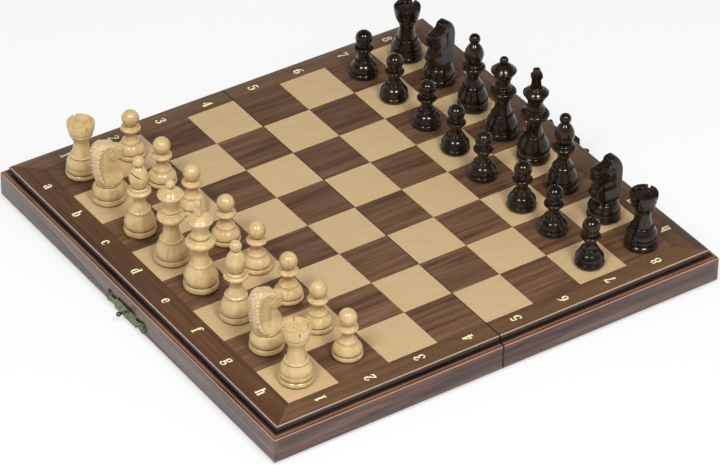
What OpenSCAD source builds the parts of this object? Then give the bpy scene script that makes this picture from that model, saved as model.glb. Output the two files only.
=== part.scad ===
// Folding chess box that opens flat into a board, with its set of 32 turned wooden pieces.
// Millimetres, +Z up. Origin: middle of the footprint, on the surface the board stands on.
// Ranks run along X with rank 1 at -X, files run along Y with file a at +Y.
// The white half carries ranks 1 to 4, the black half ranks 5 to 8.

/* [Board] */
// Side of one playing square
square = 43; // [40:0.5:50]
// Width of the border beyond ranks 1 and 8
end_border = 21.9; // [18:0.1:30]
// Width of the border beyond files a and h
side_border = 18.2; // [15:0.1:28]
// Thickness of the squares and the border strips
face_t = 4.4; // [3.5:0.1:6]
// Width of the rounded edge along the border
edge_round_w = 1.2; // [0.8:0.1:3]
// Height of the rounded edge along the border
edge_round_h = 2.4; // [1:0.1:4]
// Thickness of the plywood panel under the squares
panel_t = 4; // [3:0.5:6]
// Height of a half box from its rim to the playing surface
box_h = 27.5; // [26:0.5:40]
// Open line between the two halves
seam = 0.3; // [0.2:0.05:0.8]
// Glue line between pieces of wood that lie side by side
glue = 0.06; // [0.04:0.01:0.1]

/* [Rails] */
// Thickness of the rails around each half box
rail_t = 10; // [9:0.5:14]
// Distance the rails stand out past the border
ledge = 5; // [4:0.1:6]
// Height of the shadow groove between border and rail
groove_h = 1; // [0.6:0.1:1.6]
// Width of the shelf in a rail that the panel rests on
shelf = 3; // [2:0.1:4]
// Height of the sloping nose on top of a rail
nose_h = 1.8; // [1:0.1:5]
// Bevel on the ends and lower edges of the rails
bevel = 0.8; // [0.4:0.1:1.5]
// Thickness of the felt inside each half box
lining_t = 1; // [0.6:0.1:2]
// Distance the glides stand out below the rims
glide_h = 2; // [1.9:0.1:3]
// Diameter of a glide
glide_d = 8; // [6:0.5:9]
// Distance of a white glide's middle from the end of the rail; the black ones stand twice as far in
glide_inset = 15; // [12:1:30]

/* [Hinges] */
// Distance of each hinge's middle from the middle of the board
hinge_y = 110; // [60:1:130]
// Length of a hinge
hinge_l = 38; // [30:1:60]
// Width of a hinge leaf from the joint line
leaf_w = 8.6; // [7.5:0.1:8.8]
// Thickness of a hinge leaf
leaf_t = 0.9; // [0.7:0.05:1.2]
// Diameter of a hinge barrel
barrel_d = 3.4; // [3:0.1:3.6]
// Diameter of a hinge pin
pin_d = 1.6; // [1.2:0.1:1.8]
// Radial play of a pin in the knuckle that turns on it
pin_play = 0.05; // [0.02:0.01:0.1]
// Distance from the rims to the hinge axis
axis_drop = 0.15; // [0.1:0.01:0.15]
// Length of a screw
screw_l = 6; // [5:0.5:8]
// Shank diameter of a screw
screw_d = 1.8; // [1.4:0.1:2]
// Head diameter of a screw
screw_head_d = 3.6; // [3:0.1:4]
// Distance between the screws of a hinge leaf
screw_pitch = 12; // [8:0.5:14]

/* [Latch] */
// Distance of the latch from the middle of the board, towards file a
latch_y = 8; // [0:0.5:40]
// Length of the latch plates
plate_l = 56; // [50:1:62]
// Height of the latch plates
plate_h = 10.5; // [10:0.5:12]
// Thickness of the latch plates and the hasp
plate_t = 1; // [0.8:0.1:1.2]
// Length of the middle part of a latch plate
plate_mid_l = 30; // [24:1:33]
// Diameter of the lobes at the ends of a latch plate
lobe_d = 10; // [8:0.1:10.5]
// Distance the post stands out of the keeper plate
post_l = 5.5; // [4:0.5:6.5]
// Diameter of the post
post_d = 2.2; // [1.6:0.1:2.6]
// Diameter of the ball on the post
ball_d = 3.9; // [3:0.1:4.2]
// Distance of the hasp's outer edge from its hinge axis
hasp_l = 15.5; // [15:0.5:18]
// Diameter of the hasp's barrel
hasp_barrel_d = 3; // [2.6:0.1:3.2]
// Diameter of the hasp's pin
hasp_pin_d = 1.3; // [1:0.1:1.5]
// Angle between the hasp and the rail as the board lies open
hasp_lean = 45; // [5:1:80]

/* [Pieces] */
// Height of a king
king_h = 83; // [76:1:100]
// Base diameter of a king
king_d = 27; // [25:0.5:32]
// Height of a king's cross
cross_h = 16.6; // [12:0.1:20]
// Span of the cross's arms
cross_w = 9; // [7:0.1:12]
// Thickness of the cross at its foot
cross_t = 5; // [3:0.1:6]
// Height of a queen
queen_h = 71.8; // [64:0.2:90]
// Base diameter of a queen
queen_d = 27.2; // [25:0.2:32]
// Height of a bishop
bishop_h = 68.4; // [60:0.2:80]
// Base diameter of a bishop
bishop_d = 25.4; // [23:0.2:30]
// Width of the saw cut in a bishop's mitre
mitre_cut = 1.1; // [0.8:0.1:2]
// Slope of the saw cut in a bishop's mitre
mitre_slope = 30; // [20:1:45]
// Height of a knight
knight_h = 54.8; // [50:0.2:66]
// Base diameter of a knight
knight_d = 26.6; // [25:0.2:30]
// Thickness of a white knight's head across the mane
knight_t = 13.6; // [11:0.2:15]
// Height of a rook
rook_h = 48.5; // [42:0.5:58]
// Base diameter of a rook
rook_d = 26.4; // [24:0.2:30]
// Width of the saw cuts in a white rook's rim
white_rook_cut = 1.4; // [1:0.1:3]
// Width of the saw cuts in a black rook's rim
black_rook_cut = 2.3; // [1:0.1:3]
// Depth of the saw cuts in a rook's rim
rook_cut_h = 2.8; // [2:0.1:4]
// Height of a pawn
pawn_h = 41.5; // [36:0.5:50]
// Base diameter of a pawn
pawn_d = 23.4; // [20:0.2:28]
// Thickness of the felt under a piece
pad_t = 0.8; // [0.5:0.1:1.5]
// Gap between the playing surface and a piece that stands on it
stand_gap = 0.05; // [0.02:0.01:0.1]

/* [Hidden] */
$fn = 64;
eps = 0.01;
clearance = 0.3;
plate_gap = 0.2;

rim_z = glide_h;
top_z = rim_z + box_h;
panel_z = top_z - face_t - panel_t;
border_x = 4 * square + end_border;
border_y = 4 * square + side_border;
out_x = border_x + ledge;
out_y = border_y + ledge;
panel_x = out_x - rail_t + shelf;
panel_y = out_y - rail_t + shelf;

axis_z = rim_z - axis_drop;
barrel_r = barrel_d / 2;
knuckle_l = (hinge_l - 2 * clearance) / 3;
leaf_edge = barrel_r + clearance;
screw_x = (leaf_edge + leaf_w) / 2;
screw_head_h = leaf_t;

hasp_r = hasp_barrel_d / 2;
hasp_x = out_x + plate_t + plate_gap + plate_t / 2;
hasp_z = rim_z + hasp_r + clearance;
hasp_knuckle_l = plate_mid_l / 3;
lobe_y = (plate_l - lobe_d) / 2;
post_z = rim_z + clearance + plate_h / 2;
fold_short = asin((glide_h + clearance) / (out_x - (rail_t + bevel + glide_d) / 2));
closed_gap = 2 * axis_drop + out_x * sin(fold_short);
slot_s = post_z - rim_z + closed_gap + hasp_z - rim_z;
ball_x = plate_t + post_l - (hasp_x - out_x);
slot_end = sqrt(slot_s * slot_s + ball_x * ball_x);
slot_d = ball_d + 2 * plate_gap;

FILES = ["a", "b", "c", "d", "e", "f", "g", "h"];
BACK = ["rook", "knight", "bishop", "queen", "king", "bishop", "knight", "rook"];
SIDES = ["white", "black"];
BOARD_PARTS = [
  "panel", "light_squares", "dark_squares", "border_strips", "outer_rail", "end_rails",
  "hinge_rail", "lining", "glides", "hinge_leaves", "screws"
];

// How far each piece stands off the middle of its square, from file a to file h
NUDGE_1 = [
  [-0.6, 0.7], [-0.6, 4.2], [-2.2, -1.7], [-0.7, -1.6], [-0.5, 0.5], [1.8, -1.4], [0.6, -1.4], [-1.9, -1.6]
];
NUDGE_2 = [
  [0.8, 1.5], [1.7, -0.1], [2.2, 0.3], [2.6, -3.8], [3.6, -2.4], [2.5, -4], [1.9, -1.6], [1.4, 1.8]
];
NUDGE_7 = [
  [-0.6, -3.1], [0.9, -1.2], [1.3, -2.7], [0.8, 0.2], [-2.2, 2.2], [-0.3, -3.4], [1.1, 1], [-0.4, -4.1]
];
NUDGE_8 = [
  [-0.3, -0.4], [2.2, 0.1], [3.1, -2], [0.8, -1.4], [2.1, 1.2], [-2.5, -0.1], [1.4, -4.7], [3.4, -6.2]
];
// How far each back-rank piece is turned about its own axis
TURN_1 = [85, 0, -99, 0, 21, 170, 0, 69];
TURN_8 = [27, 13, -35, 0, -26, -35, 0, 30];

function kind_of(rank, file) = rank == 2 || rank == 7 ? "pawn" : BACK[file];
function side_of(rank) = rank < 5 ? "white" : "black";
function single(kind) = kind == "king" || kind == "queen";
function piece_name(rank, file) =
  let (kind = kind_of(rank, file))
  str(side_of(rank), "_", kind, single(kind) ? "" : str("_", FILES[file]));
function nudge(rank, file) =
  rank == 1 ? NUDGE_1[file] : rank == 2 ? NUDGE_2[file] : rank == 7 ? NUDGE_7[file] : NUDGE_8[file];
function turn(rank, file) = rank == 1 ? TURN_1[file] : rank == 8 ? TURN_8[file] : 0;

PIECES = [for (rank = [1, 2, 7, 8], file = [0:7]) [piece_name(rank, file), rank, file]];
LATCH = ["hinge_pins", "keeper", "hasp_plate", "hasp_pin", "hasp"];

// ---- placing ----

// Everything common to both halves is drawn for the black half and mirrored for the white one
module on(side) {
  if (side == "white") mirror([1, 0, 0]) children();
  else children();
}

// A profile of [distance, height] points drawn out along X, mirrored to both sides of the board
module run_along_x(profile, plan) {
  for (s = [-1, 1]) scale([1, s, 1]) intersection() {
    rotate([90, 0, 90]) linear_extrude(out_x) polygon(profile);
    linear_extrude(top_z) polygon(plan);
  }
}

// A profile of [distance, height] points drawn out along Y
module run_along_y(profile, plan) {
  intersection() {
    rotate([90, 0, 0]) linear_extrude(2 * out_y, center = true) polygon(profile);
    linear_extrude(top_z) polygon(plan);
  }
}

// ---- board ----

module panel(side) {
  color("peru") on(side)
    translate([seam / 2, -panel_y, panel_z])
      cube([panel_x - seam / 2, 2 * panel_y, panel_t]);
}

// Squares of one colour on one half; a1 is dark
module squares(side, dark) {
  first = side == "white" ? 1 : 5;
  for (rank = [first:first + 3], file = [0:7]) {
    if ((rank + file) % 2 == dark) {
      x0 = (rank - 5) * square + (rank == 5 ? seam : glue) / 2;
      x1 = (rank - 4) * square - (rank == 4 ? seam : glue) / 2;
      y0 = (3 - file) * square + glue / 2;
      translate([x0, y0, top_z - face_t]) cube([x1 - x0, square - glue, face_t]);
    }
  }
}

module light_squares(side) {
  color("burlywood") squares(side, 0);
}

module dark_squares(side) {
  color("saddlebrown") squares(side, 1);
}

// Section of a border strip: from the squares out to the rounded edge
function strip_profile(inner, outer) = concat(
  [[inner, top_z - face_t], [outer, top_z - face_t]],
  [for (a = [0:15:90]) [
    outer - edge_round_w * (1 - cos(a)),
    top_z - edge_round_h * (1 - sin(a))
  ]],
  [[inner, top_z]]
);

module border_strips(side) {
  inner = 4 * square + glue / 2;
  mitre = [border_x - inner, border_y - inner];
  half_glue = glue / 2;
  color("sienna") on(side) {
    run_along_y(strip_profile(inner, border_x), [
      [inner, -inner + half_glue],
      [inner + mitre.x, -inner - mitre.y + half_glue],
      [inner + mitre.x, inner + mitre.y - half_glue],
      [inner, inner - half_glue]
    ]);
    run_along_x(strip_profile(inner, border_y), [
      [seam / 2, inner],
      [inner - half_glue, inner],
      [border_x - half_glue, border_y],
      [seam / 2 + bevel, border_y],
      [seam / 2, border_y - bevel]
    ]);
  }
}

// Section of a rail: sloping nose outside, shelf for the panel inside
function rail_profile(outer) = let (nose_z = top_z - face_t - groove_h) [
  [outer - rail_t, rim_z],
  [outer - bevel, rim_z],
  [outer, rim_z + bevel],
  [outer, nose_z - nose_h],
  [outer - 0.1 * ledge, nose_z - 0.6 * nose_h],
  [outer - 0.5 * ledge, nose_z - 0.2 * nose_h],
  [outer - 0.9 * ledge, nose_z],
  [outer - rail_t + shelf, nose_z],
  [outer - rail_t + shelf, panel_z],
  [outer - rail_t, panel_z]
];

module outer_rail(side) {
  color("dimgray") on(side) difference() {
    run_along_y(rail_profile(out_x), [
      [out_x - rail_t, -out_y + rail_t + glue],
      [out_x, -out_y + glue],
      [out_x, out_y - glue],
      [out_x - rail_t, out_y - rail_t - glue]
    ]);
    if (side == "white") keeper_nails();
    else hasp_nails();
  }
}

module end_rails(side) {
  color("gray") on(side)
    run_along_x(rail_profile(out_y), [
      [seam / 2, out_y - rail_t],
      [out_x - rail_t, out_y - rail_t],
      [out_x, out_y],
      [seam / 2 + bevel, out_y],
      [seam / 2, out_y - bevel]
    ]);
}

module hinge_rail(side) {
  len = 2 * (out_y - rail_t) - glue;
  color("sienna") on(side) difference() {
    translate([seam / 2, -len / 2, rim_z])
      cube([rail_t - seam / 2, len, panel_z - rim_z]);
    for (y = [-hinge_y, hinge_y]) translate([0, y, 0]) {
      translate([-eps, -hinge_l / 2, rim_z - eps]) cube([leaf_w + eps, hinge_l, leaf_t + eps]);
      translate([0, 0, axis_z]) rotate([90, 0, 0])
        cylinder(r = barrel_r + clearance, h = hinge_l + 2 * clearance, center = true);
      leaf_screws();
    }
  }
}

module lining(side) {
  gap = 2 * clearance;
  x0 = rail_t + gap;
  x1 = out_x - rail_t - gap;
  y1 = out_y - rail_t - gap;
  color("darkgreen") on(side)
    translate([x0, -y1, panel_z - glue - lining_t]) cube([x1 - x0, 2 * y1, lining_t]);
}

// The glides of one half land beside those of the other as the box closes
module glides(side) {
  inset = side == "white" ? glide_inset : 2 * glide_inset;
  color("black") on(side)
    for (s = [-1, 1])
      translate([out_x - (rail_t + bevel) / 2, s * (out_y - inset), 0])
        rotate_extrude() polygon([
          [0, 0], [glide_d / 2 - bevel, 0], [glide_d / 2, bevel], [glide_d / 2, rim_z], [0, rim_z]
        ]);
}

// ---- hinges ----

// One knuckle of a barrel, from y0 to y0 + len, with its bore
module knuckle(y0, len, r, bore_r) {
  translate([0, y0 + len, 0]) rotate([90, 0, 0]) difference() {
    cylinder(r = r, h = len);
    translate([0, 0, -eps]) cylinder(r = bore_r, h = len + 2 * eps);
  }
}

// Countersunk screws of one leaf, heads flush with the leaf's face
module leaf_screws() {
  for (k = [-1:1]) translate([screw_x, k * screw_pitch, rim_z]) rotate_extrude() polygon([
    [0, 0], [screw_head_d / 2, 0], [screw_d / 2, screw_head_h], [screw_d / 2, screw_l], [0, screw_l]
  ]);
}

// Knuckle spans along the hinge: the white leaf has the outer two, the black leaf the middle one
function knuckle_starts(side) = side == "white"
  ? [-hinge_l / 2, hinge_l / 2 - knuckle_l]
  : [-knuckle_l / 2];

module hinge_leaves(side) {
  bore_r = pin_d / 2 + (side == "white" ? 0 : pin_play);
  color("goldenrod") on(side) for (y = [-hinge_y, hinge_y]) translate([0, y, 0]) difference() {
    union() {
      translate([leaf_edge, -hinge_l / 2, rim_z]) cube([leaf_w - leaf_edge, hinge_l, leaf_t]);
      for (y0 = knuckle_starts(side)) {
        translate([pin_d / 2, y0, rim_z]) cube([leaf_edge - pin_d / 2 + eps, knuckle_l, leaf_t]);
        translate([0, 0, axis_z]) knuckle(y0, knuckle_l, barrel_r, bore_r);
      }
    }
    translate([0, hinge_l, axis_z]) rotate([90, 0, 0]) cylinder(r = bore_r, h = 2 * hinge_l);
    leaf_screws();
  }
}

module hinge_pins() {
  color("darkgoldenrod") for (y = [-hinge_y, hinge_y])
    translate([0, y + hinge_l / 2, axis_z]) rotate([90, 0, 0]) cylinder(r = pin_d / 2, h = hinge_l);
}

// Screws of one half: its hinge leaves and its latch plate
module screws(side) {
  color("darkgoldenrod") on(side) {
    for (y = [-hinge_y, hinge_y]) translate([0, y, 0]) difference() {
      leaf_screws();
      for (k = [-1:1]) translate([screw_x, k * screw_pitch, rim_z])
        cube([screw_head_d + eps, screw_d / 4, screw_d / 2], center = true);
    }
    if (side == "white") keeper_nails();
    else hasp_nails();
  }
}

// ---- latch ----

// Outline of a latch plate in its own plane, lower edge at 0
module plate_outline(low, high) {
  corner = (high - low) / 3;
  mid = plate_mid_l / 2;
  middle = (low + high) / 2;
  polygon([
    [-mid, low], [mid, low], [mid, high - corner], [mid - corner, high],
    [corner - mid, high], [-mid, high - corner]
  ]);
  for (s = [-1, 1]) {
    translate([s * (mid + lobe_y) / 2, middle]) square([lobe_y - mid + 2, lobe_d / 2], center = true);
    translate([s * lobe_y, middle]) circle(d = lobe_d * 0.8);
    for (a = [-66, 0, 66]) translate([s * lobe_y, middle])
      rotate(s > 0 ? a : 180 - a) translate([lobe_d * 0.3, 0]) circle(d = lobe_d * 0.4);
  }
}

// Ring grooves cut into the face of the lobes
module lobe_grooves(middle) {
  depth = plate_t / 4;
  for (s = [-1, 1]) translate([s * lobe_y, middle, plate_t - depth]) for (r = [0.2, 0.32])
    difference() {
      cylinder(r = lobe_d * r + 0.25, h = 2 * depth);
      translate([0, 0, -eps]) cylinder(r = lobe_d * r - 0.25, h = 2 * depth + 2 * eps);
    }
}

// Stands a plate drawn in its own plane against the rail's outer face
module against_rail(x) {
  translate([x, latch_y, 0]) rotate([90, 0, 90]) children();
}

// Nails through the lobes of a plate, flush with its face
module nails(middle) {
  against_rail(out_x) for (s = [-1, 1]) translate([s * lobe_y, middle, plate_t - screw_l])
    cylinder(d = screw_d * 0.7, h = screw_l);
}

module keeper_nails() {
  nails(post_z);
}

module hasp_nails() {
  nails(rim_z + clearance + plate_h / 2);
}

module keeper() {
  low = rim_z + clearance;
  color("darkolivegreen") on("white") difference() {
    union() {
      difference() {
        against_rail(out_x) linear_extrude(plate_t) plate_outline(low, low + plate_h);
        against_rail(out_x) lobe_grooves(post_z);
      }
      against_rail(out_x) translate([0, post_z, plate_t - eps]) rotate_extrude() polygon(concat(
        [[0, 0], [post_d / 2, 0]],
        ball_arc(post_l, ball_d / 2, post_d / 2)
      ));
    }
    keeper_nails();
  }
}

module hasp_plate() {
  low = rim_z + clearance;
  span = 3 * hasp_knuckle_l;
  color("darkolivegreen") difference() {
    union() {
      against_rail(out_x) linear_extrude(plate_t) plate_outline(low, low + plate_h);
      for (y0 = [-span / 2, span / 2 - hasp_knuckle_l + clearance])
        translate([hasp_x, latch_y, hasp_z])
          knuckle(y0, hasp_knuckle_l - clearance, hasp_r, hasp_pin_d / 2);
    }
    translate([out_x - eps, latch_y - hasp_knuckle_l / 2 - clearance, low - eps])
      cube([plate_t + 2 * eps, hasp_knuckle_l + 2 * clearance, 2 * hasp_r + clearance]);
    translate([hasp_x, latch_y + span, hasp_z]) rotate([90, 0, 0])
      cylinder(r = hasp_pin_d / 2, h = 2 * span);
    hasp_nails();
  }
}

module hasp_pin() {
  color("olive") translate([hasp_x, latch_y + plate_mid_l / 2, hasp_z]) rotate([90, 0, 0])
    cylinder(r = hasp_pin_d / 2, h = plate_mid_l);
}

// Drawn straight up along its hinge axis, then leaned out from the rail
module hasp() {
  bore_r = hasp_pin_d / 2 + pin_play;
  inner = hasp_r + clearance;
  color("darkolivegreen") translate([hasp_x, latch_y, hasp_z]) rotate([0, hasp_lean, 0])
    difference() {
      union() {
        difference() {
          translate([-plate_t / 2, 0, 0]) rotate([90, 0, 90]) linear_extrude(plate_t) difference() {
            plate_outline(inner, hasp_l);
            translate([0, slot_s]) circle(d = slot_d);
            translate([0, slot_end]) circle(d = slot_d);
            translate([-slot_d / 2, slot_s]) square([slot_d, slot_end - slot_s]);
          }
          translate([-plate_t / 2, 0, 0]) rotate([90, 0, 90]) lobe_grooves((inner + hasp_l) / 2);
        }
        translate([-plate_t / 2, -hasp_knuckle_l / 2, 0]) cube([plate_t, hasp_knuckle_l, inner + eps]);
        knuckle(-hasp_knuckle_l / 2, hasp_knuckle_l, hasp_r, bore_r);
      }
      translate([0, plate_mid_l, 0]) rotate([90, 0, 0]) cylinder(r = bore_r, h = 2 * plate_mid_l);
    }
}

// ---- turned outlines ----

// Smooth curve through the points, with straight end tangents
function bend(p, steps = 5) = let (last = len(p) - 1) concat(
  [for (i = [0:last - 1]) let (
    before = i > 0 ? p[i - 1] : 2 * p[0] - p[1],
    after = i < last - 1 ? p[i + 2] : 2 * p[last] - p[last - 1]
  ) for (k = [0:steps - 1]) let (
    t = k / steps,
    slope_in = (p[i + 1] - before) / 2,
    slope_out = (after - p[i]) / 2
  ) (2 * pow(t, 3) - 3 * pow(t, 2) + 1) * p[i]
    + (pow(t, 3) - 2 * pow(t, 2) + t) * slope_in
    + (3 * pow(t, 2) - 2 * pow(t, 3)) * p[i + 1]
    + (pow(t, 3) - pow(t, 2)) * slope_out],
  [p[last]]
);

// Ball of radius r at height z on top of a neck of radius neck
function ball_arc(z, r, neck) = let (start = asin(neck / r) - 90) concat(
  [for (k = [0:11]) let (a = start + (90 - start) * k / 12) [r * cos(a), z + r * sin(a)]],
  [[0, z + r]]
);

// Outlines are drawn at one size, as [radius, height] above the felt
PAWN = concat(
  bend([[10.9, 0], [11.7, 1.4], [11.5, 3], [10.7, 4.1]]),
  bend([[10.6, 4.5], [11.1, 5.8], [10.6, 7.8], [9.2, 9.9], [7.9, 11.4], [7.1, 12.8]]),
  bend([[7.3, 13.1], [7.2, 13.8], [6.5, 14.2]]),
  bend([[6, 14.4], [5.1, 15.8], [4.6, 17.6], [4.5, 19.8], [4.9, 22], [5.6, 23.2]]),
  bend([[7.2, 23.5], [8, 24.6], [7.8, 25.7], [7, 26.3]]),
  [[6.2, 26.5], [4.8, 27]],
  ball_arc(33.8, 6.9, 4.4)
);
ROOK = concat(
  bend([[12, 0], [12.9, 1.4], [12.6, 3.2], [11.8, 4.1]]),
  bend([[11.9, 4.5], [12.4, 6], [12.3, 7.6], [11.8, 8.6]]),
  bend([[12, 9], [11.9, 10.8], [11.1, 13], [9.8, 15], [8.7, 16.8]]),
  bend([[8.9, 17.2], [9, 18], [8.2, 18.6]]),
  bend([[7.5, 18.8], [7, 21], [6.3, 25], [6, 28.5], [6.1, 31], [6.5, 32.6]]),
  bend([[7.1, 33], [7.8, 34.6], [8.9, 36.4], [9.2, 38.2], [9, 38.9]]),
  [[9.1, 39.2], [9.8, 39.8], [10.8, 46.6], [10.4, 47.7], [9, 47.7], [8.6, 47.2], [8.3, 45.9]],
  bend([[8, 45.6], [4.5, 46.1], [1.4, 46.3]]),
  [[1.1, 45.9], [0, 45.8]]
);
// Radius of the floor inside the rook's rim
ROOK_FLOOR_R = 8;
BISHOP = concat(
  bend([[11.6, 0], [12.5, 1.4], [12.3, 4], [11.5, 5.6]]),
  bend([[11.6, 6], [12.1, 8], [11.7, 10.8], [10.6, 13.6], [9.3, 16.2], [8.3, 18.6]]),
  bend([[8.5, 19], [8.5, 20.2], [7.8, 21]]),
  bend([[7.2, 21.2], [6.1, 23.4], [5, 26], [4.6, 28.6], [5.2, 32.2], [6.4, 34.4]]),
  bend([[7.7, 34.8], [9.1, 36.4], [8.9, 37.8], [8, 38.6]]),
  bend([[6.8, 38.9], [6.9, 40], [6, 40.8]]),
  bend([[5.1, 41.2], [6.6, 44.4], [7.6, 48.9], [6.9, 52.8], [5, 56.6], [3, 59]]),
  ball_arc(63.1, 4.5, 2.8)
);
QUEEN = concat(
  bend([[12.6, 0], [13.6, 1.4], [13.3, 3.8], [12.5, 5]]),
  bend([[12.6, 5.4], [13, 7.6], [12.4, 10.6], [11.1, 13.6], [9.8, 16], [8.9, 18]]),
  bend([[9.1, 18.4], [9, 19.4], [8.2, 20]]),
  bend([[7.6, 20.2], [6.9, 22.6], [6.1, 26.2], [5.8, 29.8], [6.4, 33.7], [7.8, 36]]),
  bend([[9.4, 36.4], [10.7, 38.4], [10.3, 40.4], [8.9, 41.4]]),
  bend([[7.2, 41.8], [7.1, 42.8], [6.4, 43.3]]),
  bend([[6.3, 43.8], [6.6, 44.8], [6.1, 45.6]]),
  bend([[5.9, 46.2], [6.1, 49.4], [7.4, 53.4], [9.6, 57.4]]),
  bend([[10.1, 57.9], [10.1, 59], [9.4, 59.6]]),
  bend([[9, 59.8], [7.6, 61.4], [5.4, 63.2], [3.2, 64.4]]),
  ball_arc(67.5, 3.5, 1.9)
);
KING = concat(
  bend([[12.5, 0], [13.5, 1.6], [13.2, 4.4], [12.4, 5.6]]),
  bend([[12.5, 6], [13, 8.6], [12.6, 11.6], [11.4, 14.8], [9.8, 17.8], [8.5, 20.4]]),
  bend([[8.6, 20.8], [8.5, 21.8], [7.8, 22.4]]),
  bend([[7.2, 22.6], [6.5, 24.8], [5.9, 28], [5.8, 31.4], [6.6, 35.2], [8.2, 37.6]]),
  bend([[10.2, 38.2], [11.4, 40.4], [10.9, 42.2], [9.4, 43.3]]),
  bend([[7.4, 43.7], [6.8, 44.9], [7, 45.7]]),
  bend([[7.3, 46.2], [7.4, 47.2], [6.9, 48]]),
  bend([[6.4, 48.6], [6.1, 51.6], [7.2, 55], [9.5, 59]]),
  bend([[10, 59.5], [10.1, 60.7], [9.4, 61.4]]),
  bend([[9, 61.6], [7.8, 62.8], [6.2, 63.9]]),
  bend([[5.9, 64.1], [5.2, 65.2], [4, 65.6]]),
  [[0, 65.6]]
);
KNIGHT_BASE = concat(
  bend([[12.3, 0], [13.2, 1.4], [12.9, 3.8], [12.1, 5]]),
  bend([[12.2, 5.4], [12.7, 7.6], [12.4, 10], [11.3, 12.6], [9.8, 14.6]]),
  [[8.9, 15]],
  bend([[9.2, 15.3], [9.3, 16.1], [8.7, 16.7]]),
  [[0, 16.9]]
);
// Half of the cross's face as [half width, height] above its foot
CROSS = [
  [3.9, 0], [3.6, 4], [3.2, 7.3], [4.2, 8], [4.5, 9.2], [4.5, 11.2], [4.2, 12.2],
  [2.7, 12.9], [2.9, 14.6], [2.5, 16], [1.5, 16.6]
];
// Sides of the knights' heads as [forward, height] above the felt, from the chest up and round the back
WHITE_HEAD = concat(
  bend([[8.3, 16.4], [10.3, 19.6], [11, 23.2], [10.2, 26.8], [8, 31], [5.4, 34.8]]),
  bend([[5.6, 35.6], [8.4, 35.9], [10.8, 37], [12.1, 39.4], [12.4, 42.4], [11.9, 44.6]]),
  bend([[11, 45.3], [8, 46.2], [5.2, 47.6]]),
  bend([[4.9, 49.6], [2.2, 50.4], [-1.8, 52], [-4.8, 53.8]]),
  bend([[-6.2, 54], [-8.8, 51.8], [-11.5, 46.9], [-12.2, 42], [-12.1, 35.7], [-11.4, 26.8], [-9.9, 20.6],
    [-7.5, 16.4]], 3)
);
BLACK_HEAD = concat(
  bend([[8.6, 16.4], [10.8, 19.4], [11.9, 23.2], [11, 27], [8, 31]]),
  bend([[7.4, 32], [10, 33.6], [12, 36.6], [12.9, 40], [13, 44], [12.2, 47.2]]),
  [[11.4, 47.4], [8, 47.4], [4, 47.4], [0.4, 47.8]],
  bend([[-0.5, 48.4], [-0.8, 51.4], [-1.7, 53.2], [-4.5, 54]]),
  bend([[-6.8, 53.4], [-9.2, 50.6], [-11.5, 45.6], [-12.2, 41], [-12.1, 35.7], [-11.4, 26.8], [-9.9, 20.6],
    [-7.5, 16.4]], 3)
);
// Half thickness of the heads against height, and against distance forward, as shares of knight_t / 2
WHITE_FRONT = [[1.26, 16.4], [1.26, 20], [1.1, 26], [1, 34], [0.96, 44], [0.85, 50], [0.62, 54.2]];
BLACK_FRONT = [[1.26, 16.4], [1.2, 20], [0.94, 27], [0.87, 34], [0.84, 48], [0.76, 51], [0.58, 54.2]];
KNIGHT_PLAN = [[-13, 0.9], [-8, 1.3], [3, 1.3], [9, 1.1], [13.4, 0.6]];
// Turned bowl at the heads' lower end, as [radius, height]
KNIGHT_BOWL = [
  [0, 16.4], [8.9, 16.4], [10.2, 17.6], [11.4, 19.6], [12.4, 22.5], [14, 27], [30, 34], [30, 60], [0, 60]
];
// Region of a white knight's side that is carved back, from the forelock down inside the mane to the chest
WHITE_FACE = concat(
  bend([[4.9, 49.6], [3.4, 48.2], [0.4, 47.4], [-1.8, 49.8], [-4.4, 49.2], [-8.2, 46.2], [-10.2, 40.5],
    [-10.4, 34], [-9.2, 27], [-6.4, 20.8], [-2, 16.4]], 3),
  [[20, 16.4], [20, 49.6]]
);
// Half thickness left in that region against height, in the same shares
WHITE_SCOOP = [[1.3, 16.4], [0.74, 27], [0.74, 60]];

function max_x(outline) = max([for (p = outline) p.x]);
function max_y(outline) = max([for (p = outline) p.y]);
// Outline with its mirror image in Y
function mirrored(half) = concat(half, [for (i = [len(half) - 1:-1:0]) [-half[i].x, half[i].y]]);
// Spreads an outline to a base diameter and a height
function sized(outline, d, h) = let (wide = max_x(outline), high = max_y(outline))
  [for (p = outline) [p.x * d / 2 / wide, p.y * h / high]];

// ---- chess pieces ----

module turned(outline, d, h) {
  rotate_extrude() polygon(concat([[0, 0]], sized(outline, d, h)));
}

module pawn() {
  turned(PAWN, pawn_d, pawn_h - pad_t);
}

// The saw cuts go through the rim and stop at the floor inside it
module rook(cut) {
  high = rook_h - pad_t;
  inner = ROOK_FLOOR_R * rook_d / (2 * max_x(ROOK));
  difference() {
    turned(ROOK, rook_d, high);
    for (a = [0:90:270]) rotate(a)
      translate([inner, -cut / 2, high - rook_cut_h]) cube([rook_d / 2, cut, 2 * rook_cut_h]);
  }
}

// The saw cut falls towards the side that the mitre opens on
module bishop() {
  high = bishop_h - pad_t;
  difference() {
    turned(BISHOP, bishop_d, high);
    translate([0, -bishop_d / 4, high * 0.8]) rotate([-mitre_slope, 0, 0])
      translate([-bishop_d / 2, -bishop_d / 4, 0]) cube([bishop_d, bishop_d / 2, mitre_cut]);
  }
}

module queen() {
  turned(QUEEN, queen_d, queen_h - pad_t);
}

// Stands along X, thicker at its foot than at its top
module cross() {
  intersection() {
    rotate([90, 0, 0]) linear_extrude(cross_t, center = true) polygon(mirrored(sized(CROSS, cross_w, cross_h)));
    rotate([90, 0, 90]) linear_extrude(2 * cross_w, center = true)
      polygon(mirrored([[cross_t / 2, 0], [cross_t * 0.4, cross_h]]));
  }
}

module king() {
  body_h = king_h - pad_t - cross_h;
  turned(KING, king_d, body_h);
  translate([0, 0, body_h - eps]) cross();
}

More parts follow.
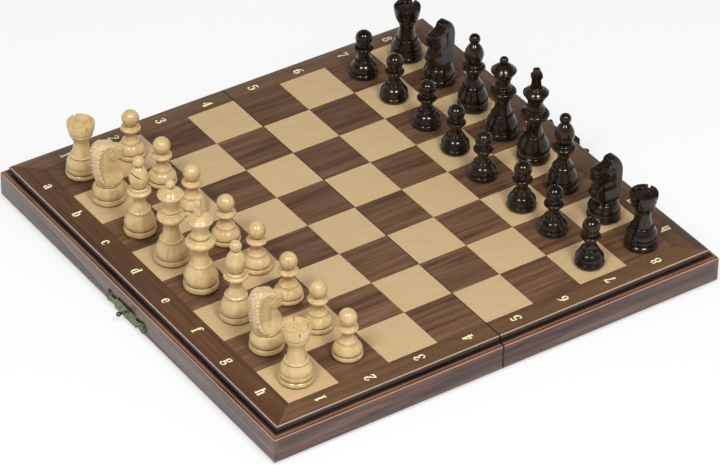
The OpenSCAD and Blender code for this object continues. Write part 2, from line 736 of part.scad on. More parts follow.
// Fills an outline seen from the side, or seen from the front
module side_view(outline) {
  rotate([90, 0, 0]) linear_extrude(2 * knight_d, center = true) polygon(outline);
}

module front_view(outline) {
  rotate([90, 0, 90]) linear_extrude(2 * knight_d, center = true) polygon(outline);
}

module knight(side) {
  high = knight_h - pad_t;
  head = side == "white" ? WHITE_HEAD : BLACK_HEAD;
  grow = high / max_y(head);
  wide = knight_d / (2 * max_x(KNIGHT_BASE));
  half_t = knight_t / 2;
  turned(KNIGHT_BASE, knight_d, max_y(KNIGHT_BASE) * grow);
  difference() {
    intersection() {
      side_view([for (p = head) [p.x * wide, p.y * grow]]);
      front_view(mirrored([for (p = side == "white" ? WHITE_FRONT : BLACK_FRONT) [p.x * half_t, p.y * grow]]));
      rotate(-90) linear_extrude(high + 1) polygon(mirrored([for (p = KNIGHT_PLAN) [p.y * half_t, p.x * wide]]));
      rotate_extrude() polygon([for (p = KNIGHT_BOWL) [p.x * wide, p.y * grow]]);
    }
    if (side == "white") for (s = [-1, 1]) intersection() {
      side_view([for (p = WHITE_FACE) [p.x * wide, p.y * grow]]);
      front_view(concat(
        [for (p = WHITE_SCOOP) [s * p.x * half_t, p.y * grow]],
        [[s * knight_d, max_y(WHITE_SCOOP) * grow], [s * knight_d, WHITE_SCOOP[0].y * grow]]
      ));
    }
  }
}

function base_d(kind) =
  kind == "king" ? king_d : kind == "queen" ? queen_d : kind == "bishop" ? bishop_d
  : kind == "knight" ? knight_d : kind == "rook" ? rook_d : pawn_d;

module wood(kind, side) {
  if (kind == "king") king();
  else if (kind == "queen") queen();
  else if (kind == "bishop") bishop();
  else if (kind == "knight") knight(side);
  else if (kind == "rook") rook(side == "white" ? white_rook_cut : black_rook_cut);
  else pawn();
}

// One chess piece on its square: turned wood with a felt disc glued under it
module chess_piece(rank, file) {
  kind = kind_of(rank, file);
  off = nudge(rank, file);
  facing = side_of(rank) == "white" ? 0 : 180;
  color(side_of(rank) == "white" ? "wheat" : "#2e2018")
    translate([(rank - 4.5) * square + off.x, (3.5 - file) * square + off.y, top_z + stand_gap])
      rotate(facing + turn(rank, file)) {
        cylinder(d = base_d(kind) * 0.9, h = pad_t - glue);
        translate([0, 0, pad_t]) wood(kind, side_of(rank));
      }
}

for (side = SIDES) {
  panel(side);
  light_squares(side);
  dark_squares(side);
  border_strips(side);
  outer_rail(side);
  end_rails(side);
  hinge_rail(side);
  lining(side);
  glides(side);
  hinge_leaves(side);
  screws(side);
}
hinge_pins();
keeper();
hasp_plate();
hasp_pin();
hasp();
for (p = PIECES) chess_piece(p[1], p[2]);
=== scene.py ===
"""Looks of the folding chess board and its 32 turned pieces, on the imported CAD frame.

Everything is in metres in the frame of the model: ranks run along X with rank 1 at -X,
files run along Y with file a at +Y, and the board stands on z = 0.
"""
import math

import bmesh
import bpy
import numpy as np
from mathutils import Euler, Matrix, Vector
from mathutils.geometry import delaunay_2d_cdt


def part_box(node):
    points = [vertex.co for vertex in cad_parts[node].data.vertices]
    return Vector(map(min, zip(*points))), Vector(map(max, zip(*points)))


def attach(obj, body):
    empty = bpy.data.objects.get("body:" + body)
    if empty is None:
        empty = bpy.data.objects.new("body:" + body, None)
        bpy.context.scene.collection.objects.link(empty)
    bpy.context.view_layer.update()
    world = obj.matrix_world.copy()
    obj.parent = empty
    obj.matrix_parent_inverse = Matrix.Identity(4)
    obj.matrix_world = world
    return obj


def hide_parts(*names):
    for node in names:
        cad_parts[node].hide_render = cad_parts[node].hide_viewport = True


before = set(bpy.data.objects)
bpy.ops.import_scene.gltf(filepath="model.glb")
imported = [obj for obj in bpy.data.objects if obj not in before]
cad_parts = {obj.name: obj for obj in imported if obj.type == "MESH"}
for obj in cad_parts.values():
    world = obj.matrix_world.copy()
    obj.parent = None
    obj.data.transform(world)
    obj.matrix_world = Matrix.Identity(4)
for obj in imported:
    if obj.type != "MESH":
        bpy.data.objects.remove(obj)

MM = 0.001
# Edges steeper than this are shaded sharp; the knights' strokes stay smooth up to a steeper one
CREASE, KNIGHT_CREASE = math.radians(38), math.radians(50)
FILES = "abcdefgh"
BACK_RANK = ["rook", "knight", "bishop", "queen", "king", "bishop", "knight", "rook"]
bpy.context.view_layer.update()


# -------- sizes read from the frame

square_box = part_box("white_light_squares")
TOP = square_box[1].z
SQUARE = -square_box[0].x / 4
BORDER_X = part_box("black_border_strips")[1].x
BORDER_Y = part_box("black_border_strips")[1].y
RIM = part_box("black_outer_rail")[0].z


# -------- materials

def srgb(r, g, b):
    """Linear colour of an sRGB colour given as 0 to 255."""
    linear = [((c / 255 + 0.055) / 1.055) ** 2.4 if c > 10 else c / 255 / 12.92 for c in (r, g, b)]
    return (*linear, 1.0)


def scaled(colour, share):
    """A linear colour made darker or paler by a share."""
    return [min(1, c * share) for c in colour[:3]] + [1]


class Nodes:
    """Shader nodes made and joined in one node tree."""

    def __init__(self, tree):
        self.tree = tree

    def node(self, kind, inputs=None, **settings):
        made = self.tree.nodes.new(kind)
        for key, value in settings.items():
            setattr(made, key, value)
        for key, value in (inputs or {}).items():
            if isinstance(value, bpy.types.NodeSocket):
                self.tree.links.new(value, made.inputs[key])
            else:
                made.inputs[key].default_value = value
        return made

    def span(self, value, low, high, to_low=0.0, to_high=1.0):
        """A value carried from one range to another, clamped."""
        return self.node("ShaderNodeMapRange", {
            "Value": value, "From Min": low, "From Max": high, "To Min": to_low, "To Max": to_high,
        }).outputs[0]


class Finish(Nodes):
    """One procedural material, built node by node onto its Principled shader."""

    def __init__(self, name, **constants):
        self.material = bpy.data.materials.new(name)
        self.material.use_nodes = True
        super().__init__(self.material.node_tree)
        self.shader = self.tree.nodes["Principled BSDF"]
        for socket, value in constants.items():
            self.shader.inputs[socket.replace("_", " ")].default_value = value
        self.place = self.node("ShaderNodeTexCoord").outputs["Object"]

    def stretch(self, scale, vector=None):
        """Coordinates multiplied along x, y and z."""
        return self.node(
            "ShaderNodeVectorMath", {0: vector or self.place, 1: scale}, operation="MULTIPLY"
        ).outputs[0]

    def add_vectors(self, a, b):
        return self.node("ShaderNodeVectorMath", {0: a, 1: b}, operation="ADD").outputs[0]

    def maths(self, operation, a, b=0.0, c=0.0):
        return self.node("ShaderNodeMath", {0: a, 1: b, 2: c}, operation=operation).outputs[0]

    def noise(self, vector, scale=1.0, detail=3.0, rough=0.55, distortion=0.0):
        return self.node("ShaderNodeTexNoise", {
            "Vector": vector, "Scale": scale, "Detail": detail, "Roughness": rough, "Distortion": distortion,
        }).outputs["Fac"]

    def streaks(self, scale, detail=3.0, rough=0.55, distortion=0.0, vector=None):
        """Noise with a scale of its own along x, y and z."""
        return self.noise(self.stretch(scale, vector), 1.0, detail, rough, distortion)

    def ramp(self, factor, stops):
        """Colour ramp from (place, colour) stops."""
        ramp = self.node("ShaderNodeValToRGB", {"Fac": factor})
        elements = ramp.color_ramp.elements
        while len(elements) < len(stops):
            elements.new(0.5)
        for element, (place, colour) in zip(elements, stops):
            element.position = place
            element.color = colour
        return ramp.outputs["Color"]

    def mix(self, factor, a, b, blend="MIX"):
        """Two colours mixed; 6 and 7 are the Mix node's colour inputs and 2 its colour output."""
        mixed = self.node("ShaderNodeMix", {0: factor, 6: a, 7: b}, data_type="RGBA", blend_type=blend)
        return mixed.outputs[2]

    def axes(self):
        """The sockets of x, y and z in the model's frame."""
        return self.node("ShaderNodeSeparateXYZ", {0: self.place}).outputs

    def below_top(self, low, high, to_low=0.0, to_high=1.0):
        """A value that changes between two depths under the board's top, given in millimetres."""
        return self.span(self.axes()[2], TOP - low * MM, TOP - high * MM, to_low, to_high)

    def grey(self, value):
        return self.node("ShaderNodeCombineColor", {0: value, 1: value, 2: value}).outputs[0]

    def surface(self, colour=None, roughness=None, height=None, bump=0.2, distance=0.0002):
        for name, value in (("Base Color", colour), ("Roughness", roughness)):
            if value is not None:
                self.tree.links.new(value, self.shader.inputs[name])
        if height is not None:
            bumped = self.node("ShaderNodeBump", {"Height": height, "Strength": bump, "Distance": distance})
            self.tree.links.new(bumped.outputs[0], self.shader.inputs["Normal"])
        return self.material


def square_shift(finish):
    """A random vector and a random number for each square, so that no two squares share their grain."""
    cell = finish.node(
        "ShaderNodeVectorMath", {0: finish.stretch((1 / SQUARE, 1 / SQUARE, 0.0))}, operation="FLOOR"
    ).outputs[0]
    chance = finish.node("ShaderNodeTexWhiteNoise", {"Vector": cell})
    return finish.stretch((0.9, 0.9, 0.9), chance.outputs["Color"]), chance.outputs["Value"]


def seam_line(finish, colour, reach):
    """Paints shade on the wood beside the open line between the two halves, out to a reach from it."""
    near = finish.span(finish.maths("ABSOLUTE", finish.axes()[0]), 0.6 * reach, reach, 0.9, 0.0)
    return finish.mix(near, colour, srgb(20, 13, 9))


def veneer(name, dark, light, streak, grain, tone, lean, contrast, pore, gloss):
    """Flat lacquered veneer of the squares.

    grain is how fast the figure changes along x, y and z, per metre; tone is how much the squares differ by
    chance, and lean how much lighter they are painted toward file h, per metre, as a painted sheen.
    """
    finish = Finish(name, Coat_Weight=0.25, Coat_Roughness=0.18, Specular_IOR_Level=0.4)
    offset, chance = square_shift(finish)
    place = finish.add_vectors(finish.place, offset)
    figure = finish.streaks(grain, 4.0, 0.6, 0.35, place)
    fibre = finish.streaks([g * 7 for g in grain], 3.0, 0.6, vector=place)
    pores = finish.streaks([g * m for g, m in zip(grain, (4, 11, 11))], 1.0, 0.5, vector=place)
    colour = finish.ramp(figure, [(0.5 - contrast / 2, dark), (0.5 + contrast / 2, light)])
    colour = finish.mix(finish.span(fibre, 0.35, 0.7, 0.0, 0.5), colour, streak)
    colour = finish.mix(finish.span(pores, 0.6, 0.7, 0.0, pore), colour, scaled(dark, 0.5))
    spread = finish.span(chance, 0.0, 1.0, 1 - tone, 1 + tone)
    # Painted sheen: the squares are made lighter toward file h by lean, on top of their chance tone.
    bright = finish.maths("MULTIPLY_ADD", finish.axes()[1], -lean, spread)
    colour = seam_line(finish, finish.mix(1.0, colour, finish.grey(bright), "MULTIPLY"), 0.5 * MM)
    roughness = finish.span(fibre, 0.3, 0.7, gloss - 0.05, gloss + 0.1)
    return finish.surface(colour, roughness, fibre, 0.12, 0.0001)


def border_veneer(name, along_x, along_y):
    """Walnut border whose grain follows each strip; the strips meet at mitres and differ in tone."""
    finish = Finish(name, Coat_Weight=0.3, Coat_Roughness=0.16, Specular_IOR_Level=0.4)
    inner = 4 * SQUARE
    across = []
    for axis, edge in zip(finish.axes(), (BORDER_X, BORDER_Y)):
        past = finish.maths("SUBTRACT", finish.maths("ABSOLUTE", axis), inner)
        across.append(finish.maths("MULTIPLY", past, 1 / (edge - inner)))
    runs_y = finish.maths("GREATER_THAN", *across)
    fibres, colours = [], []
    for grain, (dark, light) in (((9.0, 330.0, 60.0), along_x), ((330.0, 9.0, 60.0), along_y)):
        figure = finish.streaks(grain, 4.0, 0.62, 0.4)
        fibres.append(finish.streaks([g * 6 for g in grain], 3.0, 0.6))
        colour = finish.ramp(figure, [(0.3, dark), (0.68, light)])
        colours.append(finish.mix(finish.span(fibres[-1], 0.4, 0.75, 0.0, 0.45), colour, scaled(dark, 0.6)))
    colour = finish.mix(runs_y, *colours)
    # Painted highlight: a pale line along the rounded top edge of the border.
    painted_highlight = finish.maths("MULTIPLY", finish.below_top(0.15, 0.04, 0.55, 0.0), finish.below_top(0.9, 0.6))
    # Painted shade: the border's edge below its top is painted nearly black.
    colour = finish.mix(finish.below_top(1.0, 0.6, 0.9, 0.0), colour, srgb(26, 16, 12))
    colour = seam_line(finish, finish.mix(painted_highlight, colour, srgb(226, 194, 178)), 0.7 * MM)
    roughness = finish.span(fibres[0], 0.3, 0.7, 0.28, 0.4)
    return finish.surface(colour, roughness, fibres[0], 0.1, 0.0001)


def rail_finish():
    """Dark stained moulding under clear lacquer: grain along it, painted highlights on the edges of the
    ledge, and painted shade on the top of the ledge and along the foot.
    """
    finish = Finish("rail_wood", Coat_Weight=0.4, Coat_Roughness=0.12, Specular_IOR_Level=0.4)
    x, y, z = finish.axes()
    runs_y = finish.maths("GREATER_THAN", finish.maths("ABSOLUTE", x), finish.maths("ABSOLUTE", y))
    along = [finish.grey(finish.streaks(grain, 4.0, 0.6, 0.3))
             for grain in ((12.0, 90.0, 200.0), (90.0, 12.0, 200.0))]
    figure = finish.mix(runs_y, *along)
    dark, middle, light = srgb(46, 26, 21), srgb(84, 56, 48), srgb(116, 82, 70)
    colour = finish.ramp(figure, [(0.32, dark), (0.5, middle), (0.68, light)])
    # Painted highlights: two pale lines along the edges of the ledge.
    for low, high, share in ((7.4, 6.7, 0.6), (6.0, 5.8, 0.25)):
        painted_highlight = finish.maths("MULTIPLY", finish.below_top(low + 0.2, low, 0.0, share),
                              finish.below_top(high, high - 0.2, 1.0, 0.0))
        colour = finish.mix(painted_highlight, colour, srgb(206, 156, 122))
    # Painted shade: the top of the ledge, in the groove under the border, is painted nearly black.
    colour = finish.mix(finish.below_top(5.75, 5.55, 0.0, 0.8), colour, srgb(20, 12, 9))
    foot_shade = finish.span(z, RIM + 0.6 * MM, RIM + 1.6 * MM, 0.6, 0.0)
    colour = finish.mix(foot_shade, colour, srgb(26, 17, 15))
    colour = seam_line(finish, colour, 1.0 * MM)
    roughness = finish.span(figure, 0.3, 0.7, 0.3, 0.42)
    return finish.surface(colour, roughness, figure, 0.1, 0.0001)


def plywood():
    """Birch plywood: plies along the edge, faint face grain."""
    finish = Finish("plywood", Specular_IOR_Level=0.3)
    layer = finish.node("ShaderNodeTexWave", {"Vector": finish.place, "Scale": 200.0}, bands_direction="Z")
    figure = finish.streaks((20.0, 200.0, 300.0))
    colour = finish.mix(layer.outputs["Fac"], srgb(176, 140, 96), srgb(122, 88, 56))
    colour = finish.mix(finish.span(figure, 0.3, 0.7, 0.0, 0.4), colour, srgb(196, 164, 120))
    return finish.surface(colour, finish.span(figure, 0.3, 0.7, 0.6, 0.75), figure, 0.2)


def felt(name, colour):
    """Pressed wool felt: matted fibres, a little sheen."""
    finish = Finish(name, Sheen_Weight=0.35, Sheen_Roughness=0.6, Specular_IOR_Level=0.15)
    fibres = finish.streaks((2600.0, 2600.0, 2600.0), 4.0, 0.7, 1.2)
    clumps = finish.noise(finish.place, 260.0, 3.0)
    both = finish.maths("MULTIPLY_ADD", fibres, 0.7, finish.maths("MULTIPLY", clumps, 0.3))
    tone = finish.ramp(both, [(0.35, scaled(colour, 0.55)), (0.68, scaled(colour, 1.7))])
    return finish.surface(tone, finish.span(clumps, 0.3, 0.7, 0.85, 0.98), fibres, 0.7, 0.0003)


def speckled(name, scale, stops, rough, bump, distance, **constants):
    """One speckle for colour, roughness and height, as rubber and print have it."""
    finish = Finish(name, **constants)
    speck = finish.noise(finish.place, scale, 3.0, 0.6)
    roughness = finish.span(speck, 0.3, 0.7, *rough)
    return finish.surface(finish.ramp(speck, stops), roughness, speck, bump, distance)


def metal(name, low, body, high, rough):
    """Cast or rolled metal with a patina that gathers in patches and rubs bright elsewhere."""
    finish = Finish(name, Metallic=1.0)
    patches = finish.noise(finish.place, 420.0, 5.0, 0.65)
    speck = finish.noise(finish.place, 3000.0, 2.0, 0.6)
    colour = finish.ramp(patches, [(0.34, low), (0.52, body), (0.72, high)])
    roughness = finish.span(finish.maths("ADD", patches, speck), 0.7, 1.3, rough + 0.12, rough - 0.08)
    return finish.surface(colour, roughness, speck, 0.25, 0.00005)


def turned_wood(name, dark, light, groove, raw, gloss, coat, fleck, specular):
    """Turned wood under lacquer: upright grain, with painted shade in the grooves.

    Its attribute is 1 in a groove, where the groove colour is painted shade, and below 0 where chiselled wood
    is left raw.
    """
    finish = Finish(name, Coat_Weight=coat, Coat_Roughness=gloss, Specular_IOR_Level=specular)
    figure = finish.streaks((170.0, 170.0, 16.0), 4.0, 0.6, 0.5)
    fibre = finish.streaks((1500.0, 1500.0, 70.0), 3.0, 0.6)
    colour = finish.ramp(figure, [(0.34, dark), (0.66, light)])
    colour = finish.mix(finish.span(fibre, 0.5, 0.75, 0.0, fleck), colour, dark)
    groove_shade_and_raw = finish.node("ShaderNodeAttribute", attribute_name="groove_shade_and_raw").outputs["Fac"]
    # Painted shade: the grooves are darkened toward the groove colour.
    colour = finish.mix(finish.span(groove_shade_and_raw, 0.0, 1.0, 0.0, 0.85), colour, groove)
    colour = finish.mix(finish.span(groove_shade_and_raw, -0.75, 0.0, 0.6, 0.0), colour, raw)
    roughness = finish.span(figure, 0.3, 0.7, gloss + 0.12, gloss + 0.24)
    return finish.surface(colour, roughness, fibre, 0.06, 0.0001)


MAPLE = veneer("maple", srgb(198, 169, 126), srgb(207, 179, 137), srgb(193, 163, 120),
               grain=(60.0, 260.0, 60.0), tone=0.02, lean=0.05, contrast=0.4, pore=0.05, gloss=0.38)
WALNUT = veneer("walnut", srgb(78, 52, 36), srgb(132, 97, 70), srgb(82, 56, 41),
                grain=(9.0, 210.0, 60.0), tone=0.08, lean=0.8, contrast=0.36, pore=0.6, gloss=0.34)
BORDER = border_veneer("border_walnut", (srgb(88, 62, 42), srgb(122, 90, 62)),
                       (srgb(74, 49, 33), srgb(106, 74, 51)))
RAIL = rail_finish()
PLYWOOD = plywood()
LINING = felt("lining_felt", srgb(30, 76, 52))
PAD = felt("pad_felt", srgb(28, 44, 34))
RUBBER = speckled("glide_rubber", 2200.0, [(0.3, srgb(20, 20, 21)), (0.75, srgb(44, 43, 43))],
                  rough=(0.6, 0.85), bump=0.3, distance=0.0001, Specular_IOR_Level=0.4)
BRASS = metal("hinge_brass", srgb(150, 116, 58), srgb(196, 158, 88), srgb(222, 190, 124), 0.32)
BRONZE = metal("antique_bronze", srgb(66, 68, 54), srgb(124, 126, 104), srgb(190, 180, 132), 0.4)
# The third colour of each turned wood is painted shade for its grooves; the fourth is raw chiselled wood.
BOXWOOD = turned_wood("light_boxwood", srgb(198, 167, 114), srgb(219, 191, 140), srgb(104, 68, 32),
                      srgb(220, 198, 164), gloss=0.14, coat=0.6, fleck=0.25, specular=0.4)
LACQUER = turned_wood("dark_lacquer", srgb(3, 2, 2), srgb(50, 31, 15), srgb(2, 1, 1), srgb(30, 20, 14),
                      gloss=0.15, coat=0.85, fleck=0.6, specular=0.05)
PRINT = speckled("cream_print", 1400.0, [(0.3, srgb(236, 228, 172)), (0.7, srgb(252, 248, 206))],
                 rough=(0.35, 0.5), bump=0.1, distance=0.00003, Coat_Weight=0.2, Coat_Roughness=0.2)

# Finish of each board node; each half has one of each
NODE_FINISH = {
    "panel": PLYWOOD, "light_squares": MAPLE, "dark_squares": WALNUT, "border_strips": BORDER,
    "outer_rail": RAIL, "end_rails": RAIL, "hinge_rail": RAIL, "lining": LINING,
    "glides": RUBBER, "hinge_leaves": BRASS, "screws": BRASS,
}


# -------- meshes

def bend(points, steps=8):
    """Smooth curve through the points."""
    p = [np.array(q, float) for q in points]
    p = [2 * p[0] - p[1]] + p + [2 * p[-1] - p[-2]]
    curve = []
    for a, b, c, d in zip(p, p[1:], p[2:], p[3:]):
        for t in np.arange(steps) / steps:
            curve.append(
                (2 * t**3 - 3 * t**2 + 1) * b + (t**3 - 2 * t**2 + t) * (c - a) / 2
                + (3 * t**2 - 2 * t**3) * c + (t**3 - t**2) * (d - b) / 2
            )
    return np.array(curve + [p[-2]])


def ball(z, r, neck, steps=18):
    """Ball of radius r at height z on a neck."""
    start = math.asin(neck / r) - math.pi / 2
    angles = start + (math.pi / 2 - start) * np.arange(steps + 1) / steps
    return np.stack([r * np.cos(angles), z + r * np.sin(angles)], 1)


def line(*points):
    return np.array(points, float)


# Outlines of the turned pieces, as (radius, height) in millimetres above the felt
OUTLINES = {
    "pawn": [
        bend([(10.9, 0), (11.7, 1.4), (11.5, 3), (10.7, 4.1)]),
        bend([(10.6, 4.5), (11.1, 5.8), (10.6, 7.8), (9.2, 9.9), (7.9, 11.4), (7.1, 12.8)]),
        bend([(7.3, 13.1), (7.2, 13.8), (6.5, 14.2)]),
        bend([(6, 14.4), (5.1, 15.8), (4.6, 17.6), (4.5, 19.8), (4.9, 22), (5.6, 23.2)]),
        bend([(7.2, 23.5), (8, 24.6), (7.8, 25.7), (7, 26.3)]),
        line((6.2, 26.5), (4.8, 27)),
        ball(33.8, 6.9, 4.4),
    ],
    "rook": [
        bend([(12, 0), (12.9, 1.4), (12.6, 3.2), (11.8, 4.1)]),
        bend([(11.9, 4.5), (12.4, 6), (12.3, 7.6), (11.8, 8.6)]),
        bend([(12, 9), (11.9, 10.8), (11.1, 13), (9.8, 15), (8.7, 16.8)]),
        bend([(8.9, 17.2), (9, 18), (8.2, 18.6)]),
        bend([(7.5, 18.8), (7, 21), (6.3, 25), (6, 28.5), (6.1, 31), (6.5, 32.6)]),
        bend([(7.1, 33), (7.8, 34.6), (8.9, 36.4), (9.2, 38.2), (9, 38.9)]),
        line((9.1, 39.2), (9.8, 39.8), (10.8, 46.6), (10.4, 47.7), (9, 47.7), (8.6, 47.2), (8.3, 45.9)),
        bend([(8, 45.6), (4.5, 46.1), (1.4, 46.3)]),
        line((1.1, 45.9), (0, 45.8)),
    ],
    "bishop": [
        bend([(11.6, 0), (12.5, 1.4), (12.3, 4), (11.5, 5.6)]),
        bend([(11.6, 6), (12.1, 8), (11.7, 10.8), (10.6, 13.6), (9.3, 16.2), (8.3, 18.6)]),
        bend([(8.5, 19), (8.5, 20.2), (7.8, 21)]),
        bend([(7.2, 21.2), (6.1, 23.4), (5, 26), (4.6, 28.6), (5.2, 32.2), (6.4, 34.4)]),
        bend([(7.7, 34.8), (9.1, 36.4), (8.9, 37.8), (8, 38.6)]),
        bend([(6.8, 38.9), (6.9, 40), (6, 40.8)]),
        bend([(5.1, 41.2), (6.6, 44.4), (7.6, 48.9), (6.9, 52.8), (5, 56.6), (3, 59)]),
        ball(63.1, 4.5, 2.8),
    ],
    "queen": [
        bend([(12.6, 0), (13.6, 1.4), (13.3, 3.8), (12.5, 5)]),
        bend([(12.6, 5.4), (13, 7.6), (12.4, 10.6), (11.1, 13.6), (9.8, 16), (8.9, 18)]),
        bend([(9.1, 18.4), (9, 19.4), (8.2, 20)]),
        bend([(7.6, 20.2), (6.9, 22.6), (6.1, 26.2), (5.8, 29.8), (6.4, 33.7), (7.8, 36)]),
        bend([(9.4, 36.4), (10.7, 38.4), (10.3, 40.4), (8.9, 41.4)]),
        bend([(7.2, 41.8), (7.1, 42.8), (6.4, 43.3)]),
        bend([(6.3, 43.8), (6.6, 44.8), (6.1, 45.6)]),
        bend([(5.9, 46.2), (6.1, 49.4), (7.4, 53.4), (9.6, 57.4)]),
        bend([(10.1, 57.9), (10.1, 59), (9.4, 59.6)]),
        bend([(9, 59.8), (7.6, 61.4), (5.4, 63.2), (3.2, 64.4)]),
        ball(67.5, 3.5, 1.9),
    ],
    "king": [
        bend([(12.5, 0), (13.5, 1.6), (13.2, 4.4), (12.4, 5.6)]),
        bend([(12.5, 6), (13, 8.6), (12.6, 11.6), (11.4, 14.8), (9.8, 17.8), (8.5, 20.4)]),
        bend([(8.6, 20.8), (8.5, 21.8), (7.8, 22.4)]),
        bend([(7.2, 22.6), (6.5, 24.8), (5.9, 28), (5.8, 31.4), (6.6, 35.2), (8.2, 37.6)]),
        bend([(10.2, 38.2), (11.4, 40.4), (10.9, 42.2), (9.4, 43.3)]),
        bend([(7.4, 43.7), (6.8, 44.9), (7, 45.7)]),
        bend([(7.3, 46.2), (7.4, 47.2), (6.9, 48)]),
        bend([(6.4, 48.6), (6.1, 51.6), (7.2, 55), (9.5, 59)]),
        bend([(10, 59.5), (10.1, 60.7), (9.4, 61.4)]),
        bend([(9, 61.6), (7.8, 62.8), (6.2, 63.9)]),
        bend([(5.9, 64.1), (5.2, 65.2), (4, 65.6)]),
        line((0, 65.6)),
    ],
    "knight": [
        bend([(12.3, 0), (13.2, 1.4), (12.9, 3.8), (12.1, 5)]),
        bend([(12.2, 5.4), (12.7, 7.6), (12.4, 10), (11.3, 12.6), (9.8, 14.6)]),
        line((8.9, 15)),
        bend([(9.2, 15.3), (9.3, 16.1), (8.7, 16.7)]),
        line((0, 16.9)),
    ],
}
# Half of the king's cross as (half width, height) above its foot
CROSS = line((3.9, 0), (3.6, 4), (3.2, 7.3), (4.2, 8), (4.5, 9.2), (4.5, 11.2), (4.2, 12.2),
             (2.7, 12.9), (2.9, 14.6), (2.5, 16), (1.5, 16.6))
CROSS_T = 5.0


def hollows(outline, reach=1.6, full=0.45):
    """How deep each outline point lies in a groove, from 0 to 1 at the full depth.

    That is how far it lies inside the outer edge of what is within reach of it on both sides.
    """
    radius, height = outline[:, 0], outline[:, 1]
    steps = np.hypot(np.diff(radius), np.diff(height))
    along = np.concatenate([[0], np.cumsum(steps)])
    out = []
    for r, s in zip(radius, along):
        before = radius[(along < s) & (along > s - reach)]
        after = radius[(along > s) & (along < s + reach)]
        rise = min(before.max(initial=r), after.max(initial=r)) - r
        out.append(min(1.0, max(0.0, rise) / full))
    return np.array(out)


def lathe(outline, turns=80):
    """Vertices, faces and groove depths of a solid of revolution; the depths set the painted shade in the
    grooves.
    """
    outline = outline * MM
    depth = hollows(outline / MM)
    if outline[0, 0] > 0:
        outline = np.vstack([[0, outline[0, 1]], outline])
        depth = np.concatenate([[0], depth])
    if outline[-1, 0] < 1e-7:
        outline[-1, 0] = 0
    verts, faces, values, rings = [], [], [], []
    angles = [2 * math.pi * k / turns for k in range(turns)]
    for (r, z), d in zip(outline, depth):
        if r == 0:
            rings.append([len(verts)] * turns)
            verts.append((0, 0, z))
            values.append(d)
        else:
            rings.append(list(range(len(verts), len(verts) + turns)))
            verts += [(r * math.cos(a), r * math.sin(a), z) for a in angles]
            values += [d] * turns
    for low, high in zip(rings, rings[1:]):
        for k in range(turns):
            n = (k + 1) % turns
            loop = [low[k], low[n], high[n], high[k]]
            faces.append([v for i, v in enumerate(loop) if v != loop[i - 1]])
    return verts, faces, values


def smooth(mesh):
    mesh.polygons.foreach_set("use_smooth", [True] * len(mesh.polygons))


def make_mesh(name, verts, faces, values=None, crease=CREASE):
    mesh = bpy.data.meshes.new(name)
    mesh.from_pydata([tuple(map(float, v)) for v in verts], [], faces)
    mesh.validate()
    if values is not None:
        groove_shade_and_raw = mesh.attributes.new("groove_shade_and_raw", "FLOAT", "POINT")
        groove_shade_and_raw.data.foreach_set("value", np.array(values, np.float32))
    smooth(mesh)
    mesh.update()
    mesh.set_sharp_from_angle(angle=crease)
    return mesh


def put_in_scene(name, data):
    obj = bpy.data.objects.new(name, data)
    bpy.context.scene.collection.objects.link(obj)
    return obj


def add_object(name, mesh, material):
    obj = put_in_scene(name, mesh)
    obj.data.materials.clear()
    obj.data.materials.append(material)
    return obj


def box_mesh(size, place=(0, 0, 0), turn=(0, 0, 0)):
    """A box to cut with."""
    verts = [Euler(turn).to_matrix() @ Vector([s * c / 2 for s, c in zip(size, corner)]) + Vector(place)
             for corner in ((-1, -1, -1), (1, -1, -1), (1, 1, -1), (-1, 1, -1),
                            (-1, -1, 1), (1, -1, 1), (1, 1, 1), (-1, 1, 1))]
    faces = [(0, 3, 2, 1), (4, 5, 6, 7), (0, 1, 5, 4), (1, 2, 6, 5), (2, 3, 7, 6), (3, 0, 4, 7)]
    return make_mesh("cutter", verts, faces)


def carve(mesh, cutters):
    """The mesh with the cutters taken away."""
    obj = put_in_scene("blank", mesh)
    tools = [put_in_scene("cutter", cutter) for cutter in cutters]
    for tool in tools:
        cut = obj.modifiers.new("cut", "BOOLEAN")
        cut.object = tool
        cut.operation = "DIFFERENCE"
        cut.solver = "EXACT"
    done = bpy.data.meshes.new_from_object(obj.evaluated_get(bpy.context.evaluated_depsgraph_get()))
    for spare in [obj] + tools:
        bpy.data.objects.remove(spare)
    done.set_sharp_from_angle(angle=CREASE)
    return done


def scaled_outline(kind, diameter, height):
    outline = np.vstack(OUTLINES[kind])
    outline[:, 0] *= diameter / 2 / outline[:, 0].max()
    outline[:, 1] *= height / outline[:, 1].max()
    return outline


# -------- knight

# Edges of the heads seen from the side, as (forward, height), from the collar up to the top
HEAD_FRONT = {
    "white": np.vstack([
        bend([(8.3, 16.4), (10.3, 19.6), (11, 23.2), (10.2, 26.8), (8, 31), (5.4, 34.8)]),
        bend([(5.6, 35.6), (8.4, 35.9), (10.8, 37), (12.1, 39.4), (12.4, 42.4), (11.9, 44.6)]),
        bend([(11, 45.3), (8, 46.2), (5.2, 47.6)]),
        bend([(4.9, 49.6), (2.2, 50.4), (-1.8, 52), (-4.8, 53.8)]),
        line((-5.6, 54)),
    ]),
    "black": np.vstack([
        bend([(8.6, 16.4), (10.8, 19.4), (11.9, 23.2), (11, 27), (8, 31)]),
        bend([(7.4, 32), (10, 33.6), (12, 36.6), (12.9, 40), (13, 44), (12.2, 47.2)]),
        line((11.4, 47.4), (8, 47.5), (4, 47.6), (0.4, 47.8)),
        bend([(-0.5, 48.4), (-0.8, 51.4), (-1.7, 53.2), (-4.5, 54)]),
    ]),
}
NAPE = [(-7.5, 16.4), (-9.9, 20.6), (-11.4, 26.8), (-12.1, 35.7)]
HEAD_BACK = {
    "white": bend([*NAPE, (-12.2, 42), (-11.5, 46.9), (-8.8, 51.8), (-6.2, 54)]),
    "black": bend([*NAPE, (-12.2, 41), (-11.5, 45.6), (-9.2, 50.6), (-6.8, 53.4), (-4.7, 54)]),
}
